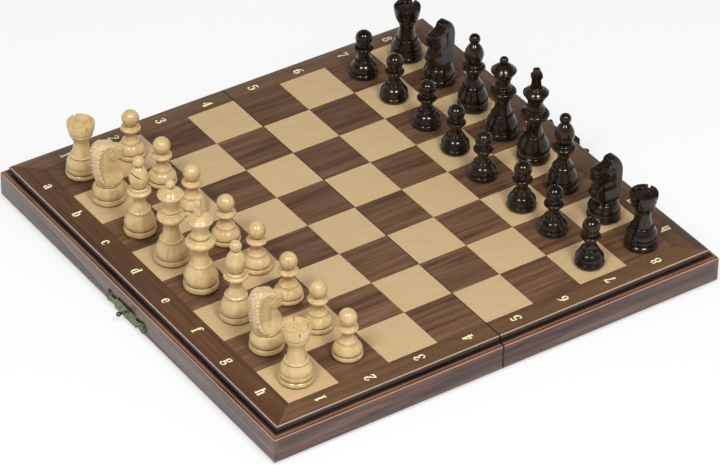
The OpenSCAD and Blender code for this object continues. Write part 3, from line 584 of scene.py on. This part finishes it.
# Front edge of the white mane, from the tip of the forelock back over the head and down to the collar
MANE_EDGE = bend([(4.9, 49.6), (3.4, 48.2), (0.4, 47.4), (-1.8, 49.8), (-4.4, 49.2), (-8.2, 46.2),
                  (-10.2, 40.5), (-10.4, 34), (-9.2, 27), (-6.4, 20.8), (-2, 16.4)])
JAW_EDGE = bend([(7.2, 33.6), (5.4, 34.6), (2.4, 35.8), (-0.4, 38.4), (-1.6, 41.2)])
MOUTH = {
    "white": bend([(12.6, 39.4), (10.6, 39.2), (8.8, 38.6)]),
    "black": bend([(13.4, 39.8), (11, 39.2), (8.8, 38.4)]),
}
EYE = {"white": (0.4, 44.6), "black": (-1.3, 43.6)}
NOSTRIL = (11, 43.4)
# Spacing of the head's rows in millimetres, points along its side, and steps across its front and back
ROW_STEP, COLUMNS, FRONT_STRIP, BACK_STRIP = 0.3, 68, 8, 30
# Radius of the round bowl that the lower end of the head is turned to, by height
BOWL = line((8.9, 16.4), (10.2, 17.6), (11.4, 19.6), (12.4, 22.5), (14, 27), (30, 34))


def smooth_step(value, low, high):
    t = np.clip((value - low) / (high - low), 0, 1)
    return t * t * (3 - 2 * t)


def bump(value, middle, width):
    return np.exp(-(((value - middle) / width) ** 2))


def distance_to(curve, x, z):
    """Distance from each point to a curve, and on which side of it the point lies."""
    a, b = curve[:-1], curve[1:]
    step = b - a
    length = np.maximum((step**2).sum(1), 1e-12)
    px, pz = x[..., None] - a[:, 0], z[..., None] - a[:, 1]
    t = np.clip((px * step[:, 0] + pz * step[:, 1]) / length, 0, 1)
    dx, dz = px - t * step[:, 0], pz - t * step[:, 1]
    away = np.hypot(dx, dz)
    near = away.argmin(-1)[..., None]
    side = np.take_along_axis(step[:, 0] * pz - step[:, 1] * px, near, -1)[..., 0]
    return away.min(-1), np.sign(side)


def stroke_depth(z, y):
    """Chisel strokes of the mane: slanted cuts with uneven spacing."""
    phase = z * 0.78 + np.abs(y) * 0.62 + 0.35 * np.sin(z * 0.9 + y * 1.4) + 0.2 * np.sin(z * 2.3 - y * 0.8)
    return (1 - np.abs(np.sin(math.pi * phase / 2.6))) ** 1.3


def eye_and_mouth(half, x, z, side):
    """The ring of the eye with its drilled centre, the mouth's cut and the nostril, sunk into a side."""
    mouth, _ = distance_to(MOUTH[side], x, z)
    nostril = np.hypot(x - NOSTRIL[0], z - NOSTRIL[1])
    half = half - 0.45 * bump(mouth, 0, 0.35) - 0.5 * bump(nostril, 0, 0.6)
    eye = np.hypot(x - EYE[side][0], z - EYE[side][1])
    return half - 0.5 * bump(eye, 1.9, 0.36) - 0.55 * bump(eye, 0, 0.6)


def above_jaw(x, z):
    """How far each point lies above the jaw's edge; 0 where there is no jaw."""
    edge, side = distance_to(JAW_EDGE, x, z)
    return -edge * side * (x > -3)


def plain_half(x, z):
    """Half thickness of a black head: flat sides that narrow to the nose."""
    half = np.interp(z, [16.4, 20, 27, 34, 48, 51, 54], [8.6, 8.2, 6.4, 5.9, 5.7, 5.2, 4])
    half = half * np.interp(x, [-12, -6, 5, 13], [0.94, 1, 1, 0.74])
    near_head = smooth_step(z, 31, 33.5) * smooth_step(x, -6, -1)
    half = half - 0.45 * (1 - smooth_step(above_jaw(x, z), -0.9, 0.3)) * near_head
    return eye_and_mouth(half, x, z, "black")


def carved_half(x, z):
    """Half thickness of a white head: the face and neck are scooped out in front of the mane."""
    mane = np.interp(z, [16.4, 20, 26, 34, 44, 50, 54], [8.6, 8.6, 7.5, 6.8, 6.5, 5.8, 4.2])
    mane = mane * np.interp(x, [-13, -9, 3], [0.92, 1, 1])
    face = np.interp(z, [16.4, 18, 21, 24, 27, 60], [9, 8.6, 7.2, 5.9, 5.2, 4.9])
    face = face * np.interp(x, [-9, 3, 9, 13.4], [1, 1, 0.94, 0.78])
    head = smooth_step(z, 33, 35.5) * smooth_step(x, -7, -1)
    face = face + 0.6 * smooth_step(above_jaw(x, z), -0.1, 0.8) * head
    face = face + 0.4 * np.exp(-((x - 1.2) ** 2 + (z - 41.5) ** 2) / 4.0**2)
    face = eye_and_mouth(face, x, z, "white")
    edge, side = distance_to(MANE_EDGE, x, z)
    ahead = edge * side
    half = mane + (face - mane) * smooth_step(ahead, 0, 1.1)
    return half - 0.7 * mane_share(x, z) * stroke_depth(z, mane)


def mane_share(x, z):
    """1 on the carved strands of the white mane, 0 on the face and toward the collar."""
    edge, side = distance_to(MANE_EDGE, x, z)
    return smooth_step(-edge * side, 0.1, 0.8) * smooth_step(z, 17.5, 21)


def head_half(x, z, side):
    half = carved_half(x, z) if side == "white" else plain_half(x, z)
    return np.minimum(half, np.sqrt(np.maximum(np.interp(z, BOWL[:, 1], BOWL[:, 0]) ** 2 - x**2, 2.0)))


def head_sides(side):
    """The head's side as rows of points from the collar up, each row running from the back to the front.

    Gives the rows' heights, their front and back ends, and for each point how far forward it lies, half the
    thickness there and the tone of the wood: painted shade at the strokes' bottoms, raw wood elsewhere on the
    mane.
    """
    front_edge, back_edge = HEAD_FRONT[side], HEAD_BACK[side]
    steps = np.hypot(*np.diff(front_edge, axis=0).T)
    along = np.concatenate([[0], np.cumsum(steps)])
    heights = np.interp(np.arange(0, along[-1], ROW_STEP), along, front_edge[:, 1])
    share = np.linspace(0, 1, COLUMNS)
    share = 0.5 - 0.5 * np.cos(math.pi * share) * (0.55 + 0.45 * np.abs(np.cos(math.pi * share)))
    front = np.interp(heights, front_edge[:, 1], front_edge[:, 0])
    back = np.interp(heights, back_edge[:, 1], back_edge[:, 0])
    x = back[:, None] + (front - back)[:, None] * share[None, :]
    z = np.repeat(heights[:, None], COLUMNS, 1)
    edge, _ = distance_to(np.vstack([back_edge, front_edge[::-1]]), x, z)
    plain, wide = {"white": (1.1, 0.7), "black": (0.8, 1.8)}[side]
    bevel = plain + wide * smooth_step(z, 33, 40) * smooth_step(x, -1, 5) * (1 - smooth_step(z, 50.5, 52))
    inset = np.clip(1 - edge / bevel, 0, 1)
    half = np.maximum(head_half(x, z, side) - bevel * (1 - np.sqrt(np.maximum(1 - inset**2, 0))) * 0.9, 0.6)
    strands = mane_share(x, z) if side == "white" else np.zeros_like(x)
    return heights, front, back, x, half, strands * (stroke_depth(z, half) - 0.75)


def knight_head(side):
    """The carved head as rings stacked from the collar to the top: side, front strip, side, back strip."""
    heights, front, back, x, half, tone = head_sides(side)
    verts, tones, rings = [], [], []
    for i, height in enumerate(heights):
        ring = [(x[i, j], -half[i, j], height) for j in range(COLUMNS)]
        ring_tones = list(tone[i])
        y0 = half[i, -1]
        for k in range(1, FRONT_STRIP):
            y = -y0 + 2 * y0 * k / FRONT_STRIP
            ring.append((front[i] + 0.5 * (1 - (y / y0) ** 2), y, height))
            ring_tones.append(0.0)
        ring += [(x[i, j], half[i, j], height) for j in range(COLUMNS - 1, -1, -1)]
        ring_tones += list(tone[i][::-1])
        y0 = half[i, 0]
        fade = float(smooth_step(height, 17.5, 20) * (1 - smooth_step(height, 51, 54))) * min(1, y0 / 4)
        for k in range(1, BACK_STRIP):
            y = y0 - 2 * y0 * k / BACK_STRIP
            crown = 0.9 * (1 - (y / y0) ** 2)
            groove = stroke_depth(height, y) if side == "white" else 0.0
            ring.append((back[i] - (crown - 0.8 * groove) * fade, y, height))
            # Painted shade at the bottoms of the back's strokes, raw wood between them.
            ring_tones.append(fade * (groove - 0.75) if side == "white" else 0.0)
        rings.append(range(len(verts), len(verts) + len(ring)))
        verts += ring
        tones += ring_tones
    size = len(rings[0])
    faces = [(low[k], low[(k + 1) % size], high[(k + 1) % size], high[k])
             for low, high in zip(rings, rings[1:]) for k in range(size)]
    faces.append(tuple(reversed(rings[0])))
    top = [verts[v] for v in rings[-1]]
    verts.append(tuple(np.mean(top, 0) + [0, 0, 0.1]))
    tones.append(tones[-1])
    faces += [(rings[-1][k], rings[-1][(k + 1) % size], len(verts) - 1) for k in range(size)]
    return np.array(verts), faces, tones


def knight_mesh(diameter, height, side):
    """Turned foot and carved head in one mesh."""
    outline = np.vstack(OUTLINES["knight"])
    grow, wide = height / HEAD_FRONT[side][-1, 1], diameter / 2 / outline[:, 0].max()
    verts, faces, values = lathe(scaled_outline("knight", diameter, outline[-1, 1] * grow))
    head, head_faces, tones = knight_head(side)
    head = head * [wide * MM, MM, grow * MM]
    start = len(verts)
    verts = list(verts) + [tuple(v) for v in head]
    faces = faces + [[start + v for v in face] for face in head_faces]
    return make_mesh("knight", verts, faces, values + tones, KNIGHT_CREASE)


# -------- turned pieces

def cross_mesh(base_z):
    """The king's cross, along X: arms that widen outward, thinner toward the top, with rounded edges."""
    side = np.vstack([CROSS * [-1, 1], CROSS[::-1]])
    depth = np.interp(side[:, 1], [0, CROSS[-1, 1]], [CROSS_T / 2, CROSS_T * 0.4])
    shape = bmesh.new()
    sheets = [[shape.verts.new((x * MM, y * MM, (base_z + z) * MM)) for (x, z), y in zip(side, depth * sign)]
              for sign in (-1, 1)]
    shape.faces.new(sheets[0])
    shape.faces.new(sheets[1][::-1])
    for k in range(len(side)):
        n = (k + 1) % len(side)
        shape.faces.new((sheets[0][n], sheets[0][k], sheets[1][k], sheets[1][n]))
    bmesh.ops.recalc_face_normals(shape, faces=shape.faces)
    bmesh.ops.bevel(shape, geom=list(shape.edges), offset=0.45 * MM, segments=3, profile=0.5, affect="EDGES",
                    clamp_overlap=True)
    mesh = bpy.data.meshes.new("cross")
    shape.to_mesh(mesh)
    shape.free()
    return mesh


def join(mesh, other):
    """One mesh holding both shells."""
    shape = bmesh.new()
    shape.from_mesh(mesh)
    shape.from_mesh(other)
    shape.to_mesh(mesh)
    shape.free()
    smooth(mesh)
    mesh.set_sharp_from_angle(angle=CREASE)
    return mesh


# Radius of the hollow in a rook's crown as its outline has it, and the width and height of its notches
ROOK_HOLLOW_R = 8
ROOK_NOTCH_W = {"white": 1.4, "black": 2.3}
ROOK_NOTCH_H = 2.8
# Width of the bishops' slot, its height as a share of the piece, and how it leans
BISHOP_SLOT, BISHOP_SLOT_AT, BISHOP_LEAN = 1.1, 0.8, math.radians(-30)


def piece_mesh(kind, diameter, height, side):
    """Wood of one kind of piece, standing on z = 0 and facing +X. Sizes in millimetres."""
    if kind == "knight":
        return knight_mesh(diameter, height, side)
    body = height - CROSS[-1, 1] if kind == "king" else height
    mesh = make_mesh(kind, *lathe(scaled_outline(kind, diameter, body)))
    if kind == "king":
        return join(mesh, cross_mesh(body))
    if kind == "rook":
        inner = ROOK_HOLLOW_R * diameter / 2 / np.vstack(OUTLINES["rook"])[:, 0].max()
        size = (diameter / 2 * MM, ROOK_NOTCH_W[side] * MM, 2 * ROOK_NOTCH_H * MM)
        turns = [Euler((0, 0, a)) for a in np.arange(4) * math.pi / 2]
        middle = Vector(((inner + diameter / 4) * MM, 0, body * MM))
        return carve(mesh, [box_mesh(size, turn.to_matrix() @ middle, turn) for turn in turns])
    if kind == "bishop":
        slot = (diameter * MM, diameter / 2 * MM, BISHOP_SLOT * MM)
        lean = Euler((BISHOP_LEAN, 0, 0))
        middle = Vector((0, -diameter / 4 * MM, body * BISHOP_SLOT_AT * MM))
        lift = lean.to_matrix() @ Vector((0, 0, BISHOP_SLOT / 2 * MM))
        return carve(mesh, [box_mesh(slot, middle + lift, lean)])
    return mesh


# How far pieces are turned about their own axes, in degrees
TURNS = {
    "white_rook_a": 85, "white_bishop_c": -99, "white_king": 21, "white_bishop_f": 170, "white_rook_h": 69,
    "black_rook_a": 27, "black_knight_b": 13, "black_bishop_c": -35, "black_king": -26, "black_bishop_f": -35,
    "black_rook_h": 30,
}


# The wood stands this high above the square, on felt that is a little thinner; in millimetres
WOOD_LIFT, FELT_T = 0.8, 0.74
# Radius of the felt as a share of the foot's diameter
FELT_R = 0.45


def felt_disc(radius, height):
    """Felt under a piece, with a softened rim."""
    rim = [(radius - 0.25, 0), (radius - 0.05, 0.1), (radius, 0.3), (radius, height - 0.1)]
    outline = line(*rim, (0, height))
    return make_mesh("felt", *lathe(outline, 64))


def dress_piece(name, kind, side):
    """Replaces one CAD chess piece with its finished wood and felt, standing where the CAD piece stands."""
    low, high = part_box(name)
    middle = (low + high) / 2
    diameter, height = (high.y - low.y) / MM, (high.z - low.z) / MM - WOOD_LIFT
    if kind == "rook":
        diameter = (high.x - low.x) / MM
    turn = math.radians(TURNS.get(name, 0) + (180 if side == "black" else 0))
    place = Euler((0, 0, turn)).to_matrix().to_4x4()
    place.translation = (middle.x, middle.y, low.z + WOOD_LIFT * MM)
    mesh = piece_mesh(kind, diameter, height, side)
    mesh.transform(place)
    wood = add_object(name + "_wood", mesh, BOXWOOD if side == "white" else LACQUER)
    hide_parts(name)
    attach(wood, name + "_piece")
    disc = felt_disc(diameter * FELT_R, FELT_T)
    place.translation = (middle.x, middle.y, low.z)
    disc.transform(place)
    under = add_object(name + "_felt", disc, PAD)
    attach(under, name + "_piece")


def dress_pieces():
    for side in ("white", "black"):
        for index, letter in enumerate(FILES):
            kind = BACK_RANK[index]
            name = f"{side}_{kind}" if kind in ("king", "queen") else f"{side}_{kind}_{letter}"
            dress_piece(name, kind, side)
            dress_piece(f"{side}_pawn_{letter}", "pawn", side)


# -------- printed marks

# Bold serif marks as strokes of (across, up, width); the tall ones are 10 high
THICK, THIN, FOOT = 1.9, 0.9, 0.75
# Corners of the round end of a stroke
ROUND = 12


def oval(x, y, rx, ry, side, ends):
    """Closed stroke round an oval, thick at its sides and thin at its ends."""
    return [(x + rx * math.cos(a), y + ry * math.sin(a), ends + (side - ends) * math.cos(a) ** 2)
            for a in np.linspace(0, 2 * math.pi, 25)]


def foot(x, reach=1.7, y=0.38):
    return [(x - reach, y, FOOT), (x + reach, y, FOOT)]


MARKS = {
    "1": [[(2.9, 0.3, THICK), (2.9, 9.9, THICK)], [(2.9, 9.4, THIN), (1.0, 8.3, THIN)], foot(2.9, 2.0)],
    "2": [[(1.3, 7.6, 1.5), (1.6, 9.0, 0.9), (3.0, 9.6, 0.9), (4.6, 8.9, 1.5), (5.0, 7.3, THICK),
           (4.0, 5.2, 1.7), (2.2, 3.0, 1.2), (0.8, 0.9, 0.9)], [(0.6, 0.8, 1.6), (5.5, 0.8, 1.6)],
          [(5.4, 0.8, THIN), (5.6, 2.6, THIN)]],
    "3": [[(1.2, 8.0, 1.5), (1.8, 9.2, 0.9), (3.2, 9.6, 0.9), (4.6, 8.7, 1.6), (4.6, 7.0, 1.7),
           (3.6, 5.7, 1.0), (2.3, 5.3, 0.8)],
          [(2.3, 5.3, 0.8), (4.1, 4.8, 1.1), (5.0, 3.0, THICK), (4.2, 1.1, 1.4), (2.8, 0.4, 0.9),
           (1.4, 0.9, 1.0), (1.0, 2.1, 1.5)]],
    "4": [[(4.0, 9.8, THIN), (0.6, 3.1, THIN)], [(0.4, 3.0, 1.1), (5.9, 3.0, 1.1)],
          [(4.1, 9.8, THICK), (4.1, 0.3, THICK)], foot(4.1)],
    "5": [[(1.4, 9.2, 1.5), (5.2, 9.2, 1.5)], [(1.5, 9.4, THIN), (1.2, 5.2, THIN)],
          [(1.2, 5.3, 0.8), (2.8, 6.0, 1.0), (4.6, 5.3, 1.6), (5.0, 3.2, THICK), (4.2, 1.1, 1.4),
           (2.7, 0.4, 0.9), (1.3, 0.9, 1.0), (1.0, 2.0, 1.5)]],
    "6": [[(4.9, 9.4, 0.9), (2.8, 8.2, 1.2), (1.5, 5.8, THICK), (1.3, 3.3, THICK)],
          oval(3.1, 3.0, 1.9, 2.5, 1.8, 0.9)],
    "7": [[(0.7, 9.0, 1.6), (5.5, 9.0, 1.6)], [(0.8, 9.2, THIN), (0.6, 7.2, THIN)],
          [(5.2, 8.8, 1.0), (3.6, 5.4, 1.4), (2.7, 0.3, 2.0)]],
    "8": [oval(3.1, 7.4, 1.6, 2.1, 1.6, 0.9), oval(3.1, 2.8, 2.0, 2.4, 1.8, 0.9)],
    "a": [[(1.4, 5.6, 1.4), (1.8, 6.9, 0.9), (3.0, 7.2, 0.9), (4.1, 6.6, 1.4), (4.4, 5.2, 1.7),
           (4.4, 1.4, 1.7), (4.9, 0.6, 1.1), (5.8, 0.7, 0.7)],
          [(4.4, 4.4, 0.8), (2.4, 3.8, 1.0), (1.2, 2.3, 1.7), (1.6, 0.8, 1.1), (2.8, 0.6, 0.9),
           (4.4, 1.8, 0.8)]],
    "b": [[(1.5, 9.8, 1.8), (1.5, 0.4, 1.8)], [(0.2, 9.6, FOOT), (1.6, 9.6, FOOT)],
          [(1.8, 5.8, 0.8), (3.2, 6.9, 1.0), (4.6, 5.7, 1.6), (4.9, 3.6, 1.9), (4.4, 1.4, 1.5),
           (3.2, 0.5, 0.9), (1.8, 1.4, 0.8)]],
    "c": [[(4.5, 5.4, 1.5), (4.1, 6.7, 0.9), (3.0, 7.1, 0.9), (1.6, 5.9, 1.6), (1.3, 3.7, 1.9),
           (1.8, 1.5, 1.5), (3.2, 0.5, 0.9), (4.9, 1.6, 0.7)]],
    "d": [[(4.4, 9.8, 1.8), (4.4, 0.4, 1.8)], [(3.1, 9.6, FOOT), (4.5, 9.6, FOOT)],
          [(4.3, 0.38, FOOT), (5.9, 0.38, FOOT)],
          [(4.1, 5.8, 0.8), (2.7, 6.9, 1.0), (1.4, 5.7, 1.6), (1.1, 3.6, 1.9), (1.6, 1.4, 1.5),
           (2.7, 0.5, 0.9), (4.1, 1.4, 0.8)]],
    "e": [[(1.4, 4.0, 0.8), (4.9, 4.0, 0.8)],
          [(4.9, 4.0, 1.3), (4.6, 6.0, 1.3), (3.2, 7.1, 0.9), (1.7, 5.9, 1.5), (1.3, 3.7, 1.9),
           (1.8, 1.5, 1.5), (3.3, 0.5, 0.9), (5.0, 1.7, 0.7)]],
    "f": [[(2.2, 0.4, 1.8), (2.2, 7.6, 1.8), (2.7, 9.2, 1.2), (3.8, 9.7, 0.9), (4.8, 8.8, 1.4)],
          [(0.7, 6.9, THIN), (4.3, 6.9, THIN)], foot(2.2)],
    "g": [oval(2.9, 5.0, 1.7, 2.0, 1.6, 0.8), [(4.0, 6.4, 0.8), (5.6, 6.9, 1.2)],
          [(2.0, 3.2, 0.8), (1.2, 2.2, 1.0), (1.8, 1.2, 1.4), (4.2, 0.9, 1.5), (5.2, -0.3, 1.4),
           (4.6, -1.9, 1.1), (2.8, -2.7, 1.0), (1.0, -2.1, 1.2), (0.8, -0.8, 1.0), (1.9, 0.4, 0.8)]],
    "h": [[(1.5, 9.8, 1.8), (1.5, 0.4, 1.8)], [(0.2, 9.6, FOOT), (1.6, 9.6, FOOT)], foot(1.5, 1.4),
          [(1.8, 5.6, 0.8), (3.0, 6.9, 1.0), (4.2, 6.5, 1.4), (4.6, 5.0, 1.8), (4.6, 0.4, 1.8)],
          foot(4.6, 1.4)],
}
# Height of a tall mark as a share of a square, thickness in millimetres, and middle in the strokes' units
MARK_H = 0.21
MARK_T = 0.05
MARK_MIDDLE = (3.1, 4.6)


def stroke_quads(stroke):
    """Quads along one stroke, as wide as the stroke is at each place."""
    points = bend(stroke, 6) if len(stroke) > 2 else np.array(stroke, float)
    ahead = np.gradient(points[:, :2], axis=0)
    ahead /= np.maximum(np.hypot(*ahead.T), 1e-9)[:, None]
    across = np.stack([-ahead[:, 1], ahead[:, 0]], 1) * points[:, 2:3] / 2
    left, right = points[:, :2] + across, points[:, :2] - across
    return [(left[i], left[i + 1], right[i + 1], right[i]) for i in range(len(points) - 1)]


def mark_shape(strokes):
    """Flat sheet of triangles that covers a mark's strokes and leaves its counters open."""
    verts, faces = [], []
    for stroke in strokes:
        for quad in stroke_quads(stroke):
            faces.append(list(range(len(verts), len(verts) + 4)))
            verts += [Vector(p) for p in quad]
        if len(stroke) > 2:
            for x, y, width in (stroke[0], stroke[-1]):
                faces.append(list(range(len(verts), len(verts) + ROUND)))
                verts += [Vector((x + width / 2 * math.cos(a), y + width / 2 * math.sin(a)))
                          for a in np.linspace(0, 2 * math.pi, ROUND, endpoint=False)]
    points, _, triangles = delaunay_2d_cdt(verts, [], faces, 0, 1e-5)[:3]
    middles = np.array([points[v] for v in np.ravel(triangles)]).reshape(-1, 3, 2).mean(1)
    inked = np.zeros(len(triangles), bool)
    for face in faces:
        ring = np.array([verts[v] for v in face])
        for k in range(1, len(ring) - 1):
            fan = ring[[0, k, k + 1]]
            sides = [np.cross(b - a, middles - a) for a, b in zip(fan, np.roll(fan, -1, 0))]
            inked |= np.all(np.array(sides) > 0, 0) | np.all(np.array(sides) < 0, 0)
    return points, [triangle for triangle, ink in zip(triangles, inked) if ink]


def add_mark(text, name, x, y, up, body):
    """One printed mark on the border at x, y; up is the heading of its top, in degrees from +X."""
    verts, faces = mark_shape(MARKS[text])
    size = MARK_H * SQUARE / 10
    turn = Euler((0, 0, math.radians(up - 90))).to_matrix()
    place = Vector((x, y, TOP))
    shape = bmesh.new()
    made = [shape.verts.new(place + turn @ (Vector((v.x - MARK_MIDDLE[0], v.y - MARK_MIDDLE[1], 0)) * size))
            for v in verts]
    for face in faces:
        shape.faces.new([made[i] for i in face])
    bmesh.ops.recalc_face_normals(shape, faces=shape.faces)
    sheet = list(shape.faces)
    moved = bmesh.ops.extrude_face_region(shape, geom=sheet)["geom"]
    raised = [v for v in moved if isinstance(v, bmesh.types.BMVert)]
    bmesh.ops.translate(shape, vec=(0, 0, MARK_T * MM), verts=raised)
    bmesh.ops.recalc_face_normals(shape, faces=shape.faces)
    mesh = bpy.data.meshes.new(name)
    shape.to_mesh(mesh)
    shape.free()
    mark = add_object(name, mesh, PRINT)
    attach(mark, body)


def add_marks():
    """Rank numbers along the a and h sides, file letters along the rank 1 and rank 8 edges."""
    number_y, letter_x = 4.17 * SQUARE, 4.22 * SQUARE
    number_shift = 0.8 * MM
    for rank in range(1, 9):
        x = (rank - 4.5) * SQUARE + number_shift
        body = "white_half" if rank < 5 else "black_half"
        add_mark(str(rank), f"mark_{rank}_a_side", x, number_y, 0, body)
        add_mark(str(rank), f"mark_{rank}_h_side", x, -number_y, 180, body)
    for index, letter in enumerate(FILES):
        y = (3.5 - index) * SQUARE
        add_mark(letter, f"mark_{letter}_white_side", -letter_x, y, 0, "white_half")
        add_mark(letter, f"mark_{letter}_black_side", letter_x, y, 180, "black_half")


# -------- board and hardware

# Edges of the CAD nodes steeper than these are bevelled, and shaded sharp
BEVEL_ANGLE, SPLIT_ANGLE = math.radians(40), math.radians(32)


def dress_node(name, material, bevel=0.0):
    """Finish on one CAD node: its material, shading smooth over shallow angles, and softened edges."""
    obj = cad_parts[name]
    obj.data.materials.clear()
    obj.data.materials.append(material)
    if "custom_normal" in obj.data.attributes:
        obj.data.attributes.remove(obj.data.attributes["custom_normal"])
    weld = obj.modifiers.new("weld", "WELD")
    weld.merge_threshold = 1e-6
    if bevel:
        soften = obj.modifiers.new("soften", "BEVEL")
        soften.width = bevel
        soften.segments = 2
        soften.limit_method = "ANGLE"
        soften.angle_limit = BEVEL_ANGLE
    split = obj.modifiers.new("creases", "EDGE_SPLIT")
    split.split_angle = SPLIT_ANGLE
    smooth(obj.data)


def dress_board():
    bevels = {"light_squares": 0.06, "dark_squares": 0.06, "outer_rail": 0.25, "end_rails": 0.25}
    for side in ("white", "black"):
        for part, finish in NODE_FINISH.items():
            dress_node(f"{side}_{part}", finish, bevels.get(part, 0) * MM)
    for name in ("keeper", "hasp_plate", "hasp_pin", "hasp"):
        dress_node(name, BRONZE)
    dress_node("hinge_pins", BRASS)


# -------- stage, light and camera

# Width of the lamps, and the point over the middle of the board that they are aimed at, in metres
LAMP_SIZE, LAMP_AIM = 0.85, Vector((0, 0, 0.03))


def add_world(ambient, horizon, zenith):
    """Plain light on the object; the camera sees white, reflections see white low down and less above."""
    world = bpy.data.worlds.new("studio")
    bpy.context.scene.world = world
    world.use_nodes = True
    sky = Nodes(world.node_tree)
    fill = sky.tree.nodes["Background"]
    fill.inputs["Color"].default_value = (1.0, 0.99, 0.97, 1)
    fill.inputs["Strength"].default_value = ambient
    heading = sky.node("ShaderNodeTexCoord").outputs["Generated"]
    height = sky.node("ShaderNodeSeparateXYZ", {0: heading}).outputs[2]
    fade = sky.span(height, 0.05, 0.55, horizon, zenith)
    mirrored = sky.node("ShaderNodeBackground", {"Strength": fade}).outputs[0]
    white = sky.node("ShaderNodeBackground", {"Strength": 1.0}).outputs[0]
    path = sky.node("ShaderNodeLightPath").outputs
    shader = fill.outputs[0]
    backdrops = {"Is Glossy Ray": mirrored, "Is Transmission Ray": mirrored, "Is Camera Ray": white}
    for rays, backdrop in backdrops.items():
        shader = sky.node("ShaderNodeMixShader", {0: path[rays], 1: shader, 2: backdrop}).outputs[0]
    sky.tree.links.new(shader, sky.tree.nodes["World Output"].inputs["Surface"])


def add_floor():
    mesh = make_mesh("floor", [(-6, -6, 0), (6, -6, 0), (6, 6, 0), (-6, 6, 0)], [(0, 1, 2, 3)])
    finish = Finish("floor", Roughness=0.9, Specular_IOR_Level=0.1)
    cloud = finish.noise(finish.place, 3.0, 2.0)
    finish.surface(finish.ramp(cloud, [(0.3, (0.88, 0.88, 0.88, 1)), (0.7, (0.9, 0.9, 0.9, 1))]))
    white = finish.node("ShaderNodeEmission").outputs[0]
    seen = finish.maths("MULTIPLY", finish.node("ShaderNodeLightPath").outputs["Is Camera Ray"], 0.55)
    mixed = finish.node("ShaderNodeMixShader", {0: seen, 1: finish.shader.outputs[0], 2: white})
    finish.tree.links.new(mixed.outputs[0], finish.tree.nodes["Material Output"].inputs["Surface"])
    add_object("floor", mesh, finish.material)


def add_lamp(name, place, power):
    """A soft round lamp aimed at the middle of the board."""
    light = bpy.data.lights.new(name, "AREA")
    light.shape = "DISK"
    light.size = LAMP_SIZE
    light.energy = power
    lamp = put_in_scene(name, light)
    lamp.location = place
    lamp.rotation_euler = (LAMP_AIM - Vector(place)).to_track_quat("-Z", "Y").to_euler()


def add_camera():
    """Long lens from the front left and well above, as the photograph has it."""
    data = bpy.data.cameras.new("camera")
    data.sensor_width = 36.0
    data.lens = 193.877
    data.clip_end = 50.0
    camera = put_in_scene("camera", data)
    camera.location = (-1.346692, -1.977766, 1.756950)
    camera.rotation_euler = Euler([math.radians(a) for a in (53.799633, -0.655419, -33.870936)])
    bpy.context.scene.camera = camera


add_camera()
add_world(ambient=0.34, horizon=1.0, zenith=0.12)
add_floor()
add_lamp("left_key", (-1.6, -0.7, 2.4), power=36)
add_lamp("front_key", (-0.1, -1.8, 2.5), power=49)
dress_board()
dress_pieces()
add_marks()
bpy.context.scene.view_settings.view_transform = "Standard"
